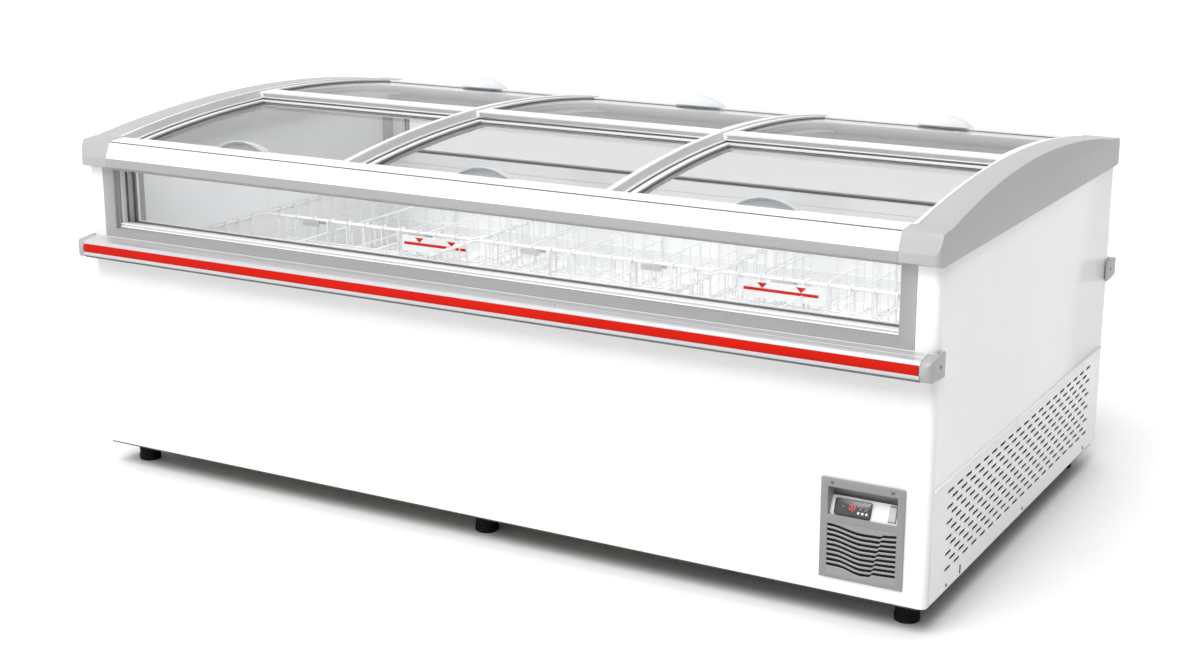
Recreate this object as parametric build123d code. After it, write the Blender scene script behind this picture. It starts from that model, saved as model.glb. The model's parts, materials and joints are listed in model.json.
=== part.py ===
from build123d import *
import os
from math import asin, cos, degrees, radians

# Island chest freezer: a foamed tub on six feet, a window along the front and the rear, three bays
# of two curved sliding lids each, and the refrigeration set in the space below the tub.
# Millimetres. +X runs along the length, -Y is the front, +Z is up, the origin is on the floor
# under the middle of the freezer.

# ---- driving dimensions ---------------------------------------------------------------------
BODY_LENGTH = 1850.0
BODY_DEPTH = 1056.0
CORNER_RADIUS = 12.0
SKIN = 1.0                     # sheet of the outer panels
FIT = 0.2                      # gap between pieces that lie side by side

FOOT_HEIGHT = 50.0
PANEL_BOTTOM = 53.0
TUB_BOTTOM = 258.0             # underside of the foamed tub, and the ledge on each end
TANK_FLOOR = 300.0
WINDOW_BOTTOM = 506.0
BODY_TOP = 650.0

TANK_HALF_X = 870.0
TANK_HALF_Y = 468.0
LINER = 0.9

WINDOW_HALF_X = 887.0
WINDOW_BAR = 29.0
WINDOW_SILL = 19.0
WINDOW_HEAD = 3.0
LOWER_BEAD = 8.0
SIDE_BEAD = 6.0
UPPER_BEAD = 2.5
BEAD_DEPTH = 12.0
GLASS = 4.0
OUTER_PANE_DEPTH = 29.0        # from the front of the frame to the outer pane
INNER_PANE_DEPTH = 47.0

ARCH_Z = -2300.0               # height of the axis that the lids and their rails curve about
RAIL_TOP_R = 3050.0
RAIL_BOTTOM_R = 3013.0
LOWER_LEDGE_R = 3018.0
UPPER_LEDGE_R = (3031.0, 3034.0)
FRONT_LID_R = (3018.3, 3030.0)
REAR_LID_R = (3034.3, 3047.0)
LID_TRAVEL = 6.4               # degrees that a lid slides about the arch's axis
RAIL_END = 9.168               # degrees from the crown to the end of a rail
LID_END = 9.12

BAY_PITCH = 580.0
BAY_CENTRES = (-BAY_PITCH, 0.0, BAY_PITCH)
BAY_NAMES = ("left", "middle", "right")
WEB = 12.0                     # thickness of a divider's web
UPPER_LEDGE = 7.0
LOWER_LEDGE = 20.0
BAY_HALF = (BAY_PITCH - WEB) / 2

LID_BAR = 44.0
LID_SIDE_BAR = 12.0
GLAZING_DEPTH = 6.0
GLASS_SEAT = 3.9               # from a lid frame's underside to its glass
FRONT_LID_GAP = 2.0            # from a front lid's side to the upper ledge
REAR_LID_GAP = 1.5             # from a rear lid's side to the web
FRONT_LID_BACK = -10.0         # y of the front lids' rear edge
REAR_LID_FRONT = -45.0         # y of the rear lids' front edge
PULL_PLACE = 430.0             # y of the middle of a pull
PULL = (64.0, 45.0, 26.0, 2.4)  # half length, depth, height and wall of a pull

# Front of the top frame: underside, grey band, white slope and white strip.
NOSE = ((-530.0, 650.0), (-546.0, 656.0), (-546.0, 673.0), (-531.0, 706.0), (-488.0, 709.0))
TRIM = 3.6                     # how far the trim's inner side stands back from the nose
TRIM_CORNER = (2.4, -2.6)      # from the trim's outer corner to its inner corner
TRIM_DROP = 2.75
FLANGE_TOP = 672.0
CAP_INNER = 858.0              # where the top frame's extrusions meet the caps
CAP_OUTER = 930.0
CAP_CREASE = 708.0
CAP_LEAN = 10.0

BUMPER_REACH = 573.0           # from the middle of the freezer to the bumper's face
BUMPER_HEIGHT = 44.0
BUMPER_CROWN = 9.0             # how far the face bows out
FRONT_BUMPER_Z = 461.0
REAR_BUMPER_Z = 405.5
INSERT_MIDDLE = 25.0           # above a bumper's lower edge
INSERT_HALF = 8.5
BUMPER_END = 912.0
BUMPER_CAP_END = 932.0

BASKET_HEIGHT = 168.0
BASKET_WIDTH = 576.0
BASKET_WIRE = 3.0
BASKET_DIVIDER_X = 97.0
FRONT_BASKET_Y = (-462.0, -45.0)
REAR_BASKET_Y = (-39.0, 462.0)

SLOT_LENGTH = 31.0
SLOT_WIDTH = 5.4
SLOT_PITCH_Y = 47.0
SLOT_PITCH_Z = 28.8
FIRST_SLOT = (-419.5, 92.0)
SLOT_COLUMNS = 19
SLOT_ROWS = 6
LIP = 4.0                      # fold along the lower edge of a side panel

PANEL_X = (731.0, 884.0)       # control panel
PANEL_Z = (80.0, 262.0)
RECESS_X = (744.0, 870.0)
RECESS_Z = (196.0, 246.0)
BEZEL_PROUD = 4.0
RECESS_DEPTH = 34.0
RECESS_BACK_Z = 214.0          # lower edge of the recess's back wall
PLATE_MIDDLE = (-509.5, 218.7)  # y, z of the leaning plate
PLATE_SLOPE = (25.0, 56.0)
PLATE_SPAN = (-30.0, 6.0)      # lower and upper edge, along the slope from the middle
GRILLE_X = (745.0, 870.0)
GRILLE_FIRST = 104.0
GRILLE_PITCH = 9.1
GRILLE_SLOT = 4.6
GRILLE_SLOTS = 9
THERMOSTAT = (67.0, 29.0)
THERMOSTAT_PLACE = (-21.5, -13.0)
BUTTON_PLACES = ((12.0, -6.5), (19.5, -6.5), (27.0, -6.5))
BUTTON_RADIUS = 2.5
ROCKER = (13.0, 26.0, 8.0)
ROCKER_PLACE = (50.5, -11.0)
ROCKER_HOLE = (14.6, 28.4)
ROCKER_TILT = 7.0
GLAND_PLACE = (700.0, 110.0)

FOOT_X = (-870.0, 0.0, 870.0)
FOOT_Y = 460.0
STUD_RADIUS = 5.0

EVAPORATOR_LEVELS = (330.0, 370.0, 410.0, 450.0)
TUBE_RADIUS = 4.0
TUBE_STANDOFF = 7.0            # from the liner's outside to the tube's centre

FAN_CENTRE = (-120.0, 168.0)   # y, z of the fan's axis, which lies along X
FAN_RADIUS = 68.0
FAN_X = (778.0, 796.0)
SHAFT_RADIUS = 3.0
COMPRESSOR = (600.0, 220.0)
COMPRESSOR_RADIUS = 80.0
TRAY_TOP = 80.0
FRAME_WALL = 2.0
EXTRUSION_WALL = 2.5

HALF_X, HALF_Y = BODY_LENGTH / 2, BODY_DEPTH / 2
ARCH_AXIS = Axis((0, 0, ARCH_Z), (1, 0, 0))
nodes = {}


# ---- helpers --------------------------------------------------------------------------------
def slab(x, y, z):
    """A box between two limits on each axis."""
    low, high = [min(s) for s in (x, y, z)], [max(s) for s in (x, y, z)]
    size = [b - a for a, b in zip(low, high)]
    centre = [(a + b) / 2 for a, b in zip(low, high)]
    return Pos(*centre) * Box(*size)


def polygon(points):
    return make_face(Polyline(*points, close=True))


def along_x(section, x0, x1):
    """A prism along X from a face drawn in (y, z)."""
    return extrude(Plane.YZ.offset(x0) * section, amount=x1 - x0)


def along_z(section, z0, z1):
    return extrude(Pos(0, 0, z0) * section, amount=z1 - z0)


def box_section(x, y, z, run, wall):
    """A rectangular tube between limits, open at both ends of its run ("X", "Y" or "Z")."""
    inner = [(min(s) + wall, max(s) - wall) for s in (x, y, z)]
    along = "XYZ".index(run)
    inner[along] = ((x, y, z)[along][0], (x, y, z)[along][1])
    return slab(x, y, z) - slab(*inner)


def rod_x(radius, x, y, z):
    """A cylinder along X between two x values."""
    return Pos((x[0] + x[1]) / 2, y, z) * Rot(0, 90, 0) * Cylinder(radius, x[1] - x[0])


def rod_y(radius, x, y, z):
    return Pos(x, (y[0] + y[1]) / 2, z) * Rot(90, 0, 0) * Cylinder(radius, y[1] - y[0])


def rear(shape):
    """The same piece on the rear."""
    return mirror(shape, Plane.XZ)


def other_end(shape):
    return mirror(shape, Plane.YZ)


def arched(section, a0, a1):
    """An (x, radius) outline swept about the arch's axis from a0 to a1 degrees from the crown."""
    face = Plane.XZ * polygon([(x, r + ARCH_Z) for x, r in section])
    return revolve(face.rotate(ARCH_AXIS, -a1), axis=ARCH_AXIS, revolution_arc=a1 - a0)


def arched_bar(x0, x1, radii, a0, a1):
    r0, r1 = radii
    return arched([(x0, r0), (x1, r0), (x1, r1), (x0, r1)], a0, a1)


def angle_at(y, radius):
    """Degrees from the crown to the point of a circle about the arch's axis at this y."""
    return degrees(asin(y / radius))


def rectangle_wire(x0, x1, y0, y1):
    return Wire.make_polygon([(x0, y0, 0), (x1, y0, 0), (x1, y1, 0), (x0, y1, 0)], close=True)


def grid(width, height, columns, rows, rail):
    """A flat grid of wires, lower left corner at the origin, with a wider rail all round."""
    holes = []
    pitch_x = (width - 2 * rail + BASKET_WIRE) / columns
    pitch_y = (height - 2 * rail + BASKET_WIRE) / rows
    for i in range(columns):
        for j in range(rows):
            x, y = rail + i * pitch_x, rail + j * pitch_y
            holes.append(rectangle_wire(x, x + pitch_x - BASKET_WIRE, y, y + pitch_y - BASKET_WIRE))
    return Face(rectangle_wire(0, width, 0, height), holes)


def tube(points, radius, bend):
    path = FilletPolyline(*points, radius=bend)
    return sweep(Plane(origin=path @ 0, z_dir=path % 0) * Circle(radius), path=path)


# ---- base -----------------------------------------------------------------------------------
def base_frame():
    """Perimeter bars, cross members, gussets over the corner feet, uprights and the machine tray."""
    inner_x, inner_y, top = 884.0, 487.0, 80.0
    height = (FOOT_HEIGHT, top)
    bars = []
    for side in (-1, 1):
        edge = side * (HALF_Y - SKIN - 0.1)
        bars.append(box_section((-912, 912), (side * inner_y, edge), height, "X", FRAME_WALL))
        end_x = (side * inner_x, side * (HALF_X - SKIN - 0.1))
        bars.append(box_section(end_x, (-inner_y, inner_y), height, "Y", FRAME_WALL) - screw_holes())
        for x in ((-912, -884), (-20, 20), (884, 912)):
            bars.append(box_section(x, (side * inner_y, edge), (top, TUB_BOTTOM), "Z", FRAME_WALL))
    for x in ((-20, 20), (440, 480)):
        bars.append(box_section(x, (-inner_y, inner_y), height, "Y", FRAME_WALL))
    for sx in (-1, 1):
        for sy in (-1, 1):
            bars.append(slab((sx * 845, sx * inner_x), (sy * 430, sy * inner_y), height))
    bars.append(slab((480, 845), (-380, 380), (top - 3, TRAY_TOP)))
    holes = [Pos(x, y, 64) * Cylinder(STUD_RADIUS + 0.1, 28) for x, y in foot_places()]
    return [drilled(bar, holes) for bar in bars]


def drilled(bar, holes):
    """The bar with the holes that lie inside its outline."""
    box = bar.bounding_box()
    for hole in holes:
        c = hole.center()
        if box.min.X < c.X < box.max.X and box.min.Y < c.Y < box.max.Y and box.min.Z < 60:
            bar = bar - hole
    return bar


def foot_places():
    return [(x, y) for x in FOOT_X for y in (-FOOT_Y, FOOT_Y)]


def levelling_foot():
    """A round foot with a wider pad, a waist and a collar under the frame."""
    outline = [(0, 0), (21.5, 0), (23, 1.5), (23, 12), (20.5, 15), (20.5, 39), (22.5, 42)]
    outline += [(22.5, FOOT_HEIGHT), (0, FOOT_HEIGHT)]
    return revolve(Plane.XZ * polygon(outline), axis=Axis.Z)


def feet():
    foot = levelling_foot()
    return [Pos(x, y, 0) * foot for x, y in foot_places()]


def studs():
    return [Pos(x, y, 62.9) * Cylinder(STUD_RADIUS, 25.6) for x, y in foot_places()]


# ---- tub ------------------------------------------------------------------------------------
def body_plan(inset):
    radius = CORNER_RADIUS - inset
    return RectangleRounded(BODY_LENGTH - 2 * inset, BODY_DEPTH - 2 * inset, radius)


def wrapped_panel():
    """The front sheet, which turns round both corners and stops at the sides."""
    shell = body_plan(0) - body_plan(SKIN)
    strip = Pos(0, -HALF_Y + 10) * Rectangle(BODY_LENGTH + 10, 20)
    return along_z(shell & strip, PANEL_BOTTOM, WINDOW_BOTTOM - FIT)


def front_panel():
    x, z = (PANEL_X[0] + 6, PANEL_X[1] - 6), (PANEL_Z[0] + 6, PANEL_Z[1] - 6)
    return wrapped_panel() - slab(x, (-HALF_Y - 5, -HALF_Y + 5), z) - front_screw_holes()


def front_screw_holes():
    return [hole for hole in screw_holes() if hole.center().Y < -HALF_Y + 30]


def side_panel():
    """The right-hand side: a flat sheet with a small lip turned out along its lower edge."""
    x = (HALF_X - SKIN, HALF_X)
    half = HALF_Y - 20 - FIT
    sheet = slab(x, (-half, half), (TUB_BOTTOM + 0.6, BODY_TOP - FIT))
    lip = slab((HALF_X, HALF_X + LIP), (-half, half), (TUB_BOTTOM + 0.6, TUB_BOTTOM + 0.6 + LIP))
    return sheet + lip


def vent_panel():
    """The right-hand lower sheet with its staggered rows of slots and one small upright slit."""
    half = HALF_Y - 20 - FIT
    slot = SlotOverall(SLOT_LENGTH, SLOT_WIDTH).face().outer_wire()
    holes = []
    for row in range(2 * SLOT_ROWS - 1):
        shifted = row % 2
        for column in range(SLOT_COLUMNS - shifted):
            y = FIRST_SLOT[0] + SLOT_PITCH_Y * (column + shifted / 2)
            z = FIRST_SLOT[1] + SLOT_PITCH_Z * row / 2
            holes.append(slot.moved(Pos(y, z)))
    holes.append(rectangle_wire(-354, -345, 56, 74))
    sheet = Face(rectangle_wire(-half, half, PANEL_BOTTOM, TUB_BOTTOM - 0.6), holes)
    return along_x(sheet, HALF_X - SKIN, HALF_X) - [h for h in screw_holes() if h.center().X > HALF_X - 20]


def corner_post():
    """The front right post beside the window, rounded on its outer corner."""
    outer, flat = HALF_X - CORNER_RADIUS, -HALF_Y + CORNER_RADIUS
    inner, side, back = WINDOW_HALF_X + FIT, -HALF_Y + 20 + FIT, -TANK_HALF_Y - LINER - FIT
    turn = CORNER_RADIUS * cos(radians(45))
    outline = Line((inner, -HALF_Y), (outer, -HALF_Y))
    outline += ThreePointArc((outer, -HALF_Y), (outer + turn, flat - turn), (HALF_X, flat))
    skin = HALF_X - SKIN - 0.1
    outline += Polyline((HALF_X, flat), (HALF_X, side), (skin, side), (skin, back))
    outline += Polyline((skin, back), (inner, back), (inner, -HALF_Y))
    return along_z(make_face(outline), WINDOW_BOTTOM, BODY_TOP - FIT)


def four_corners(piece):
    return [piece, rear(piece), other_end(piece), other_end(rear(piece))]


def foam():
    """The foam between panels and liner, with grooves for the evaporator tube."""
    gap = SKIN + 0.1
    tub = along_z(body_plan(gap), TUB_BOTTOM, WINDOW_BOTTOM - FIT)
    wall_x, wall_y = TANK_HALF_X + LINER + 0.1, TANK_HALF_Y + LINER + 0.1
    upper = slab((wall_x, HALF_X - gap), (-TANK_HALF_Y, TANK_HALF_Y), (WINDOW_BOTTOM - FIT, BODY_TOP - FIT))
    tub = tub + upper + other_end(upper)
    tub -= slab((-wall_x, wall_x), (-wall_y, wall_y), (TANK_FLOOR - LINER - 0.1, BODY_TOP))
    reach = 2 * TUBE_STANDOFF - 1.5
    for level in EVAPORATOR_LEVELS:
        z = (level - 5.5, level + 5.5)
        tub -= slab((-wall_x - reach, wall_x + reach), (-wall_y - reach, wall_y + reach), z)
    tub -= slab((-wall_x - 28, -wall_x), (-450, -390), (TUB_BOTTOM - 1, EVAPORATOR_LEVELS[-1] + 6))
    return tub


def liner():
    """Floor and four walls of the tank; the long walls stop at the windows' sills."""
    x, y = TANK_HALF_X, TANK_HALF_Y
    floor = slab((-x - LINER, x + LINER), (-y - LINER, y + LINER), (TANK_FLOOR - LINER, TANK_FLOOR))
    long_wall = slab((-x - LINER, x + LINER), (-y - LINER, -y), (TANK_FLOOR, WINDOW_BOTTOM - FIT))
    end_wall = slab((x, x + LINER), (-y, y), (TANK_FLOOR, BODY_TOP - FIT))
    return [floor, long_wall, rear(long_wall), end_wall, other_end(end_wall)]


def evaporator():
    """One tube that winds to and fro round the tank at each level."""
    x = TANK_HALF_X + LINER + TUBE_STANDOFF
    y = TANK_HALF_Y + LINER + TUBE_STANDOFF
    near, far = -440.0, -400.0
    points = [(-x, near, TUB_BOTTOM)]
    corners = [(-x, -y), (x, -y), (x, y), (-x, y)]
    for turn, level in enumerate(EVAPORATOR_LEVELS):
        start, end = (near, far) if turn % 2 == 0 else (far, near)
        ring = corners if turn % 2 == 0 else corners[::-1]
        points += [(-x, start, level)] + [(cx, cy, level) for cx, cy in ring] + [(-x, end, level)]
    outlet = -x - 16
    points += [(outlet, near, EVAPORATOR_LEVELS[-1]), (outlet, near, TUB_BOTTOM)]
    return tube(points, TUBE_RADIUS, 7.0)


# ---- windows --------------------------------------------------------------------------------
def window_frame():
    """Four aluminium bars of the front window."""
    y = (-HALF_Y, -TANK_HALF_Y - LINER - FIT)
    inner = WINDOW_HALF_X - WINDOW_BAR
    sill_top, head_bottom = WINDOW_BOTTOM + WINDOW_SILL, BODY_TOP - WINDOW_HEAD
    across = (-WINDOW_HALF_X, WINDOW_HALF_X)
    sill = box_section(across, y, (WINDOW_BOTTOM, sill_top), "X", EXTRUSION_WALL)
    head = slab(across, y, (head_bottom, BODY_TOP - FIT))
    jamb = box_section((inner, WINDOW_HALF_X), y, (sill_top, head_bottom), "Z", EXTRUSION_WALL)
    return [sill, head, jamb, other_end(jamb)]


def window_beads():
    """White beads that hold the outer pane of the front window."""
    glass_front = -HALF_Y + OUTER_PANE_DEPTH
    y = (glass_front - BEAD_DEPTH, glass_front - FIT)
    inner = WINDOW_HALF_X - WINDOW_BAR
    bottom, top = WINDOW_BOTTOM + WINDOW_SILL, BODY_TOP - WINDOW_HEAD
    low = slab((-inner, inner), y, (bottom, bottom + LOWER_BEAD))
    high = slab((-inner, inner), y, (top - UPPER_BEAD, top))
    side = slab((inner - SIDE_BEAD, inner), y, (bottom + LOWER_BEAD, top - UPPER_BEAD))
    return [low, high, side, other_end(side)]


def window_panes():
    half = WINDOW_HALF_X - WINDOW_BAR - 0.3
    z = (WINDOW_BOTTOM + WINDOW_SILL + 0.3, BODY_TOP - WINDOW_HEAD - 0.3)
    panes = []
    for depth in (OUTER_PANE_DEPTH, INNER_PANE_DEPTH):
        front = -HALF_Y + depth
        panes.append(slab((-half, half), (front, front + GLASS), z))
    return panes


# ---- top frame ------------------------------------------------------------------------------
def trim_inside():
    """The line where the extrusion and its white cover meet."""
    _, _, (y2, z2), (y3, z3), (y4, z4) = NOSE
    return [(y2 + TRIM, z2), (y3 + TRIM_CORNER[0], z3 + TRIM_CORNER[1]), (y4, z4 - TRIM_DROP)]


def profile_back():
    """The flange behind the nose, from its top down to the underside."""
    return [(NOSE[-1][0], FLANGE_TOP), (-TANK_HALF_Y, FLANGE_TOP), (-TANK_HALF_Y, NOSE[0][1])]


def top_profile():
    """The front extrusion under the lids' front ends."""
    section = polygon([*NOSE[:3], *trim_inside(), *profile_back()])
    return along_x(section - offset(section, -EXTRUSION_WALL), -CAP_INNER + FIT, CAP_INNER - FIT)


def top_trim():
    """The white cover over the extrusion's slope and its top strip."""
    section = polygon([*NOSE[2:], *reversed(trim_inside())])
    return along_x(section, -CAP_INNER + FIT, CAP_INNER - FIT)


def end_cap():
    """The right moulding: nose profile at both ends, arched top, upper face leaning in."""
    behind = [(-y, z) for y, z in NOSE]
    outline = Polyline(*NOSE) + Polyline(*behind) + Line(NOSE[0], behind[0])
    outline += ThreePointArc(NOSE[-1], (0, RAIL_TOP_R + ARCH_Z), behind[-1])
    cap = along_x(make_face(outline), TANK_HALF_X, CAP_OUTER)
    corners = [e for e in cap.edges().filter_by(Axis.Z) if e.center().X > CAP_OUTER - 1]
    cap = fillet(corners, CORNER_RADIUS)
    nose = along_x(polygon([*NOSE, *profile_back()]), CAP_INNER, TANK_HALF_X)
    top = RAIL_TOP_R + ARCH_Z + 5
    beyond = CAP_OUTER + 20
    lean = [(CAP_OUTER, CAP_CREASE), (CAP_OUTER - CAP_LEAN, top), (beyond, top), (beyond, CAP_CREASE)]
    wedge = extrude(Plane.XZ * polygon(lean), amount=600, both=True)
    hollow = slab((TANK_HALF_X + 3, CAP_OUTER - 5), (-500, 500), (BODY_TOP, 701))
    return cap + nose + rear(nose) - wedge - hollow


def divider_rail():
    """A web with an upper and a lower ledge on both sides."""
    web, up, low = WEB / 2, WEB / 2 + UPPER_LEDGE, WEB / 2 + LOWER_LEDGE
    half = rail_side(web, up, low)
    outline = half + [(-x, r) for x, r in reversed(half)]
    return arched(outline, -RAIL_END, RAIL_END)


def rail_side(web, up, low):
    """The right-hand outline of a rail from its foot to its top."""
    u0, u1 = UPPER_LEDGE_R
    foot = [(low, RAIL_BOTTOM_R), (low, LOWER_LEDGE_R), (web, LOWER_LEDGE_R)]
    return foot + [(web, u0), (up, u0), (up, u1), (web, u1), (web, RAIL_TOP_R)]


def end_rail():
    """Half of a divider, against the left cap, so its ledges point to +X."""
    outline = rail_side(WEB / 2, WEB / 2 + UPPER_LEDGE, WEB / 2 + LOWER_LEDGE)
    outline += [(FIT, RAIL_TOP_R), (FIT, RAIL_BOTTOM_R)]
    return Pos(-TANK_HALF_X, 0, 0) * arched(outline, -RAIL_END, RAIL_END)


def rails():
    divider = divider_rail()
    end = end_rail()
    return [Pos(-BAY_PITCH / 2, 0, 0) * divider, Pos(BAY_PITCH / 2, 0, 0) * divider, end, other_end(end)]


# ---- lids -----------------------------------------------------------------------------------
def lid_shape(is_front):
    """Half width, frame radii, glass radii and end angles of a lid."""
    if is_front:
        radii, half = FRONT_LID_R, BAY_HALF - UPPER_LEDGE - FRONT_LID_GAP
        ends = (-LID_END, angle_at(FRONT_LID_BACK, FRONT_LID_R[1]))
    else:
        radii, half = REAR_LID_R, BAY_HALF - REAR_LID_GAP
        ends = (angle_at(REAR_LID_FRONT, REAR_LID_R[1]), LID_END)
    glass = (radii[0] + GLASS_SEAT, radii[0] + GLASS_SEAT + GLASS)
    return half, radii, glass, ends


def lid_frame(centre, is_front):
    """Two curved side bars and two cross bars, grooved for the glass."""
    half, radii, glass, (a0, a1) = lid_shape(is_front)
    bar = degrees(LID_BAR / radii[1])
    depth = degrees(GLAZING_DEPTH / radii[1])
    inner = half - LID_SIDE_BAR
    groove = (glass[0] - 0.3, glass[1] + 0.3)
    reach = inner + GLAZING_DEPTH
    pocket = arched_bar(-reach, reach, groove, a0 + bar - depth, a1 - bar + depth)
    bars = [
        arched_bar(-half, -inner, radii, a0, a1),
        arched_bar(inner, half, radii, a0, a1),
        arched_bar(-inner, inner, radii, a0, a0 + bar),
        arched_bar(-inner, inner, radii, a1 - bar, a1),
    ]
    return [Pos(centre, 0, 0) * (piece - pocket) for piece in bars]


def lid_glass(centre, is_front):
    half, radii, glass, (a0, a1) = lid_shape(is_front)
    bar = degrees((LID_BAR - GLAZING_DEPTH + 1) / radii[1])
    reach = half - LID_SIDE_BAR + GLAZING_DEPTH - 1
    return Pos(centre, 0, 0) * arched_bar(-reach, reach, glass, a0 + bar, a1 - bar)


def cup_pull():
    """A clamshell pull, base at z 0, open towards -Y."""
    half, depth, rise, wall = PULL
    plan_radius = (half ** 2 + depth ** 2) / (2 * depth)
    ball = (plan_radius ** 2 + rise ** 2) / (2 * rise)
    middle = -depth / 2 - (plan_radius - depth)
    outer = Pos(0, middle, rise - ball) * Sphere(ball)
    inner = Pos(0, middle, rise - ball) * Sphere(ball - wall)
    block = slab((-80, 80), (-depth / 2, depth / 2), (0, 40))
    hollow = inner & slab((-80, 80), (-depth, depth), (wall, 40))
    return (outer & block) - hollow


def lid_handle(centre, is_front):
    _, radii, _, _ = lid_shape(is_front)
    pull = cup_pull() if is_front else Rot(0, 0, 180) * cup_pull()
    middle = -PULL_PLACE if is_front else PULL_PLACE
    base = radii[1] + 0.3
    lifted = Pos(centre, 0, base + ARCH_Z) * pull
    return lifted.rotate(ARCH_AXIS, -angle_at(middle, base))


# ---- bumpers --------------------------------------------------------------------------------
def bumper_outline(z, reach):
    """The D of a bumper whose back is on the front panel."""
    back = -HALF_Y - FIT
    top, bottom = z + BUMPER_HEIGHT, z
    upper, lower = (-reach + BUMPER_CROWN, top - 4), (-reach + BUMPER_CROWN, bottom + 4)
    outline = Line((back, top), upper)
    outline += ThreePointArc(upper, (-reach, z + BUMPER_HEIGHT / 2), lower)
    outline += Polyline(lower, (back, bottom), (back, top))
    return make_face(outline)


def bumper_rail(z):
    low, high = insert_z(z, 0)
    middle = (low + high) / 2
    groove = Pos(-BUMPER_REACH, middle) * Rectangle(8, high - low)
    web = Pos(-BUMPER_REACH, middle) * Rectangle(8 + 2 * EXTRUSION_WALL, high - low + 2 * EXTRUSION_WALL)
    outline = bumper_outline(z, BUMPER_REACH)
    section = outline - (offset(outline, -EXTRUSION_WALL) - web) - groove
    return along_x(section, -BUMPER_END, BUMPER_END)


def insert_z(z, clearance):
    middle, half = z + INSERT_MIDDLE, INSERT_HALF - clearance
    return (middle - half, middle + half)


def bumper_insert(z):
    """The coloured strip pressed in the rail's groove."""
    y = (-BUMPER_REACH, -BUMPER_REACH + 4 - 0.1)
    return slab((-BUMPER_END + 2, BUMPER_END - 2), y, insert_z(z, 0.1))


def bumper_cap(z):
    """The right end of a bumper, which turns the corner and lies on the side."""
    side, back, tail = HALF_X + 1.5 + FIT, -HALF_Y - FIT, -HALF_Y + 27
    start, end, face = BUMPER_END + FIT, BUMPER_CAP_END, -BUMPER_REACH
    radius = 14.0
    turn = radius * cos(radians(45))
    x, y = end - radius, face + radius
    plan = Line((start, face), (x, face)) + ThreePointArc((x, face), (x + turn, y - turn), (end, y))
    plan += Polyline((end, y), (end, tail), (side, tail), (side, back), (start, back), (start, face))
    profile = along_x(bumper_outline(z, BUMPER_REACH), start - 1, end + 1)
    ear = slab((start - 1, end + 1), (back, tail), (z, z + BUMPER_HEIGHT))
    return along_z(make_face(plan), z - 1, z + BUMPER_HEIGHT + 1) & (profile + ear)


def both_bumpers(make):
    return [make(FRONT_BUMPER_Z), rear(make(REAR_BUMPER_Z))]


# ---- baskets --------------------------------------------------------------------------------
def basket(centre, span):
    """A wire basket as flat grids: bottom, four sides and two cross dividers."""
    (y0, y1), w, t = span, BASKET_WIDTH, BASKET_WIRE
    x0, z0, depth = centre - w / 2, TANK_FLOOR + 1, y1 - y0
    columns = round(w / 48)
    rows = round(depth / 48)
    long_side = grid(w, BASKET_HEIGHT, columns, 3, 6)
    short_side = grid(depth - 2 * t, BASKET_HEIGHT, rows, 3, 6)
    divider = grid(depth - 2 * t, BASKET_HEIGHT - 24, rows, 3, 4)
    bottom = grid(w - 2 * t, depth - 2 * t, columns, rows, 4)
    pieces = []
    for y in (y0, y1 - t):
        facing = Plane(origin=(x0, y + t, z0), x_dir=(1, 0, 0), z_dir=(0, -1, 0))
        pieces.append(extrude(facing * long_side, amount=t))
    for x in (x0, x0 + w - t):
        pieces.append(along_x(Pos(y0 + t, z0) * short_side, x, x + t))
    pieces.append(along_z(Pos(x0 + t, y0 + t) * bottom, z0 + 5, z0 + 5 + t))
    for side in (-1, 1):
        x = centre + side * BASKET_DIVIDER_X - t / 2
        pieces.append(along_x(Pos(y0 + t, z0 + 5 + t) * divider, x, x + t))
    return pieces


# ---- control panel --------------------------------------------------------------------------
def plate_plane():
    """The leaning plate at the back of the recess: X along it, Y up its slope, Z out of its face."""
    middle = (sum(RECESS_X) / 2, *PLATE_MIDDLE)
    return Plane(origin=middle, x_dir=(1, 0, 0), z_dir=(0, -PLATE_SLOPE[1], PLATE_SLOPE[0]))


def thermostat_place():
    return plate_plane() * Pos(*THERMOSTAT_PLACE)


def bezel():
    """The moulding round the recess and the grille, with the recess's walls and upper back."""
    face = slab(PANEL_X, (-HALF_Y - BEZEL_PROUD, -HALF_Y), PANEL_Z)
    upright = [e for e in face.edges().filter_by(Axis.Y)]
    face = fillet(upright, 3)
    (x0, x1), (z0, z1) = RECESS_X, RECESS_Z
    back = -HALF_Y + RECESS_DEPTH
    walls = slab((x0 - 2, x1 + 2), (-HALF_Y, back), (z0 - 8, z1 + 4))
    walls -= slab((x0, x1), (-HALF_Y, back), (z0 - 6, z1 + 2))
    walls += slab((x0 - 2, x1 + 2), (back - 2, back), (RECESS_BACK_Z, z1 + 4))
    face -= slab(RECESS_X, (-HALF_Y - 10, -HALF_Y), RECESS_Z)
    for i in range(GRILLE_SLOTS):
        z = GRILLE_FIRST + i * GRILLE_PITCH
        face -= slab(GRILLE_X, (-HALF_Y - 10, -HALF_Y), (z - GRILLE_SLOT / 2, z + GRILLE_SLOT / 2))
    notch = thermostat_place() * Box(THERMOSTAT[0] - 3, THERMOSTAT[1] - 3, 120)
    walls -= notch & slab(RECESS_X, (-HALF_Y, back), (z0 - 9, z0 - 5))
    return face + walls - front_screw_holes()


def control_plate():
    """The leaning plate with the cut-outs for the thermostat and the rocker switch."""
    width = RECESS_X[1] - RECESS_X[0] - 0.6
    low, high = PLATE_SPAN
    plate = plate_plane() * Pos(0, (low + high) / 2) * Box(width, high - low, 2)
    plate -= thermostat_place() * Box(THERMOSTAT[0] - 5, THERMOSTAT[1] - 5, 10)
    hole = Box(*ROCKER_HOLE, 10)
    ring = Box(ROCKER_HOLE[0] + 2.4, ROCKER_HOLE[1] + 2.6, 4)
    return plate + rocker_place() * ring - rocker_place() * hole


def rocker_place():
    return plate_plane() * Pos(*ROCKER_PLACE)


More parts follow.
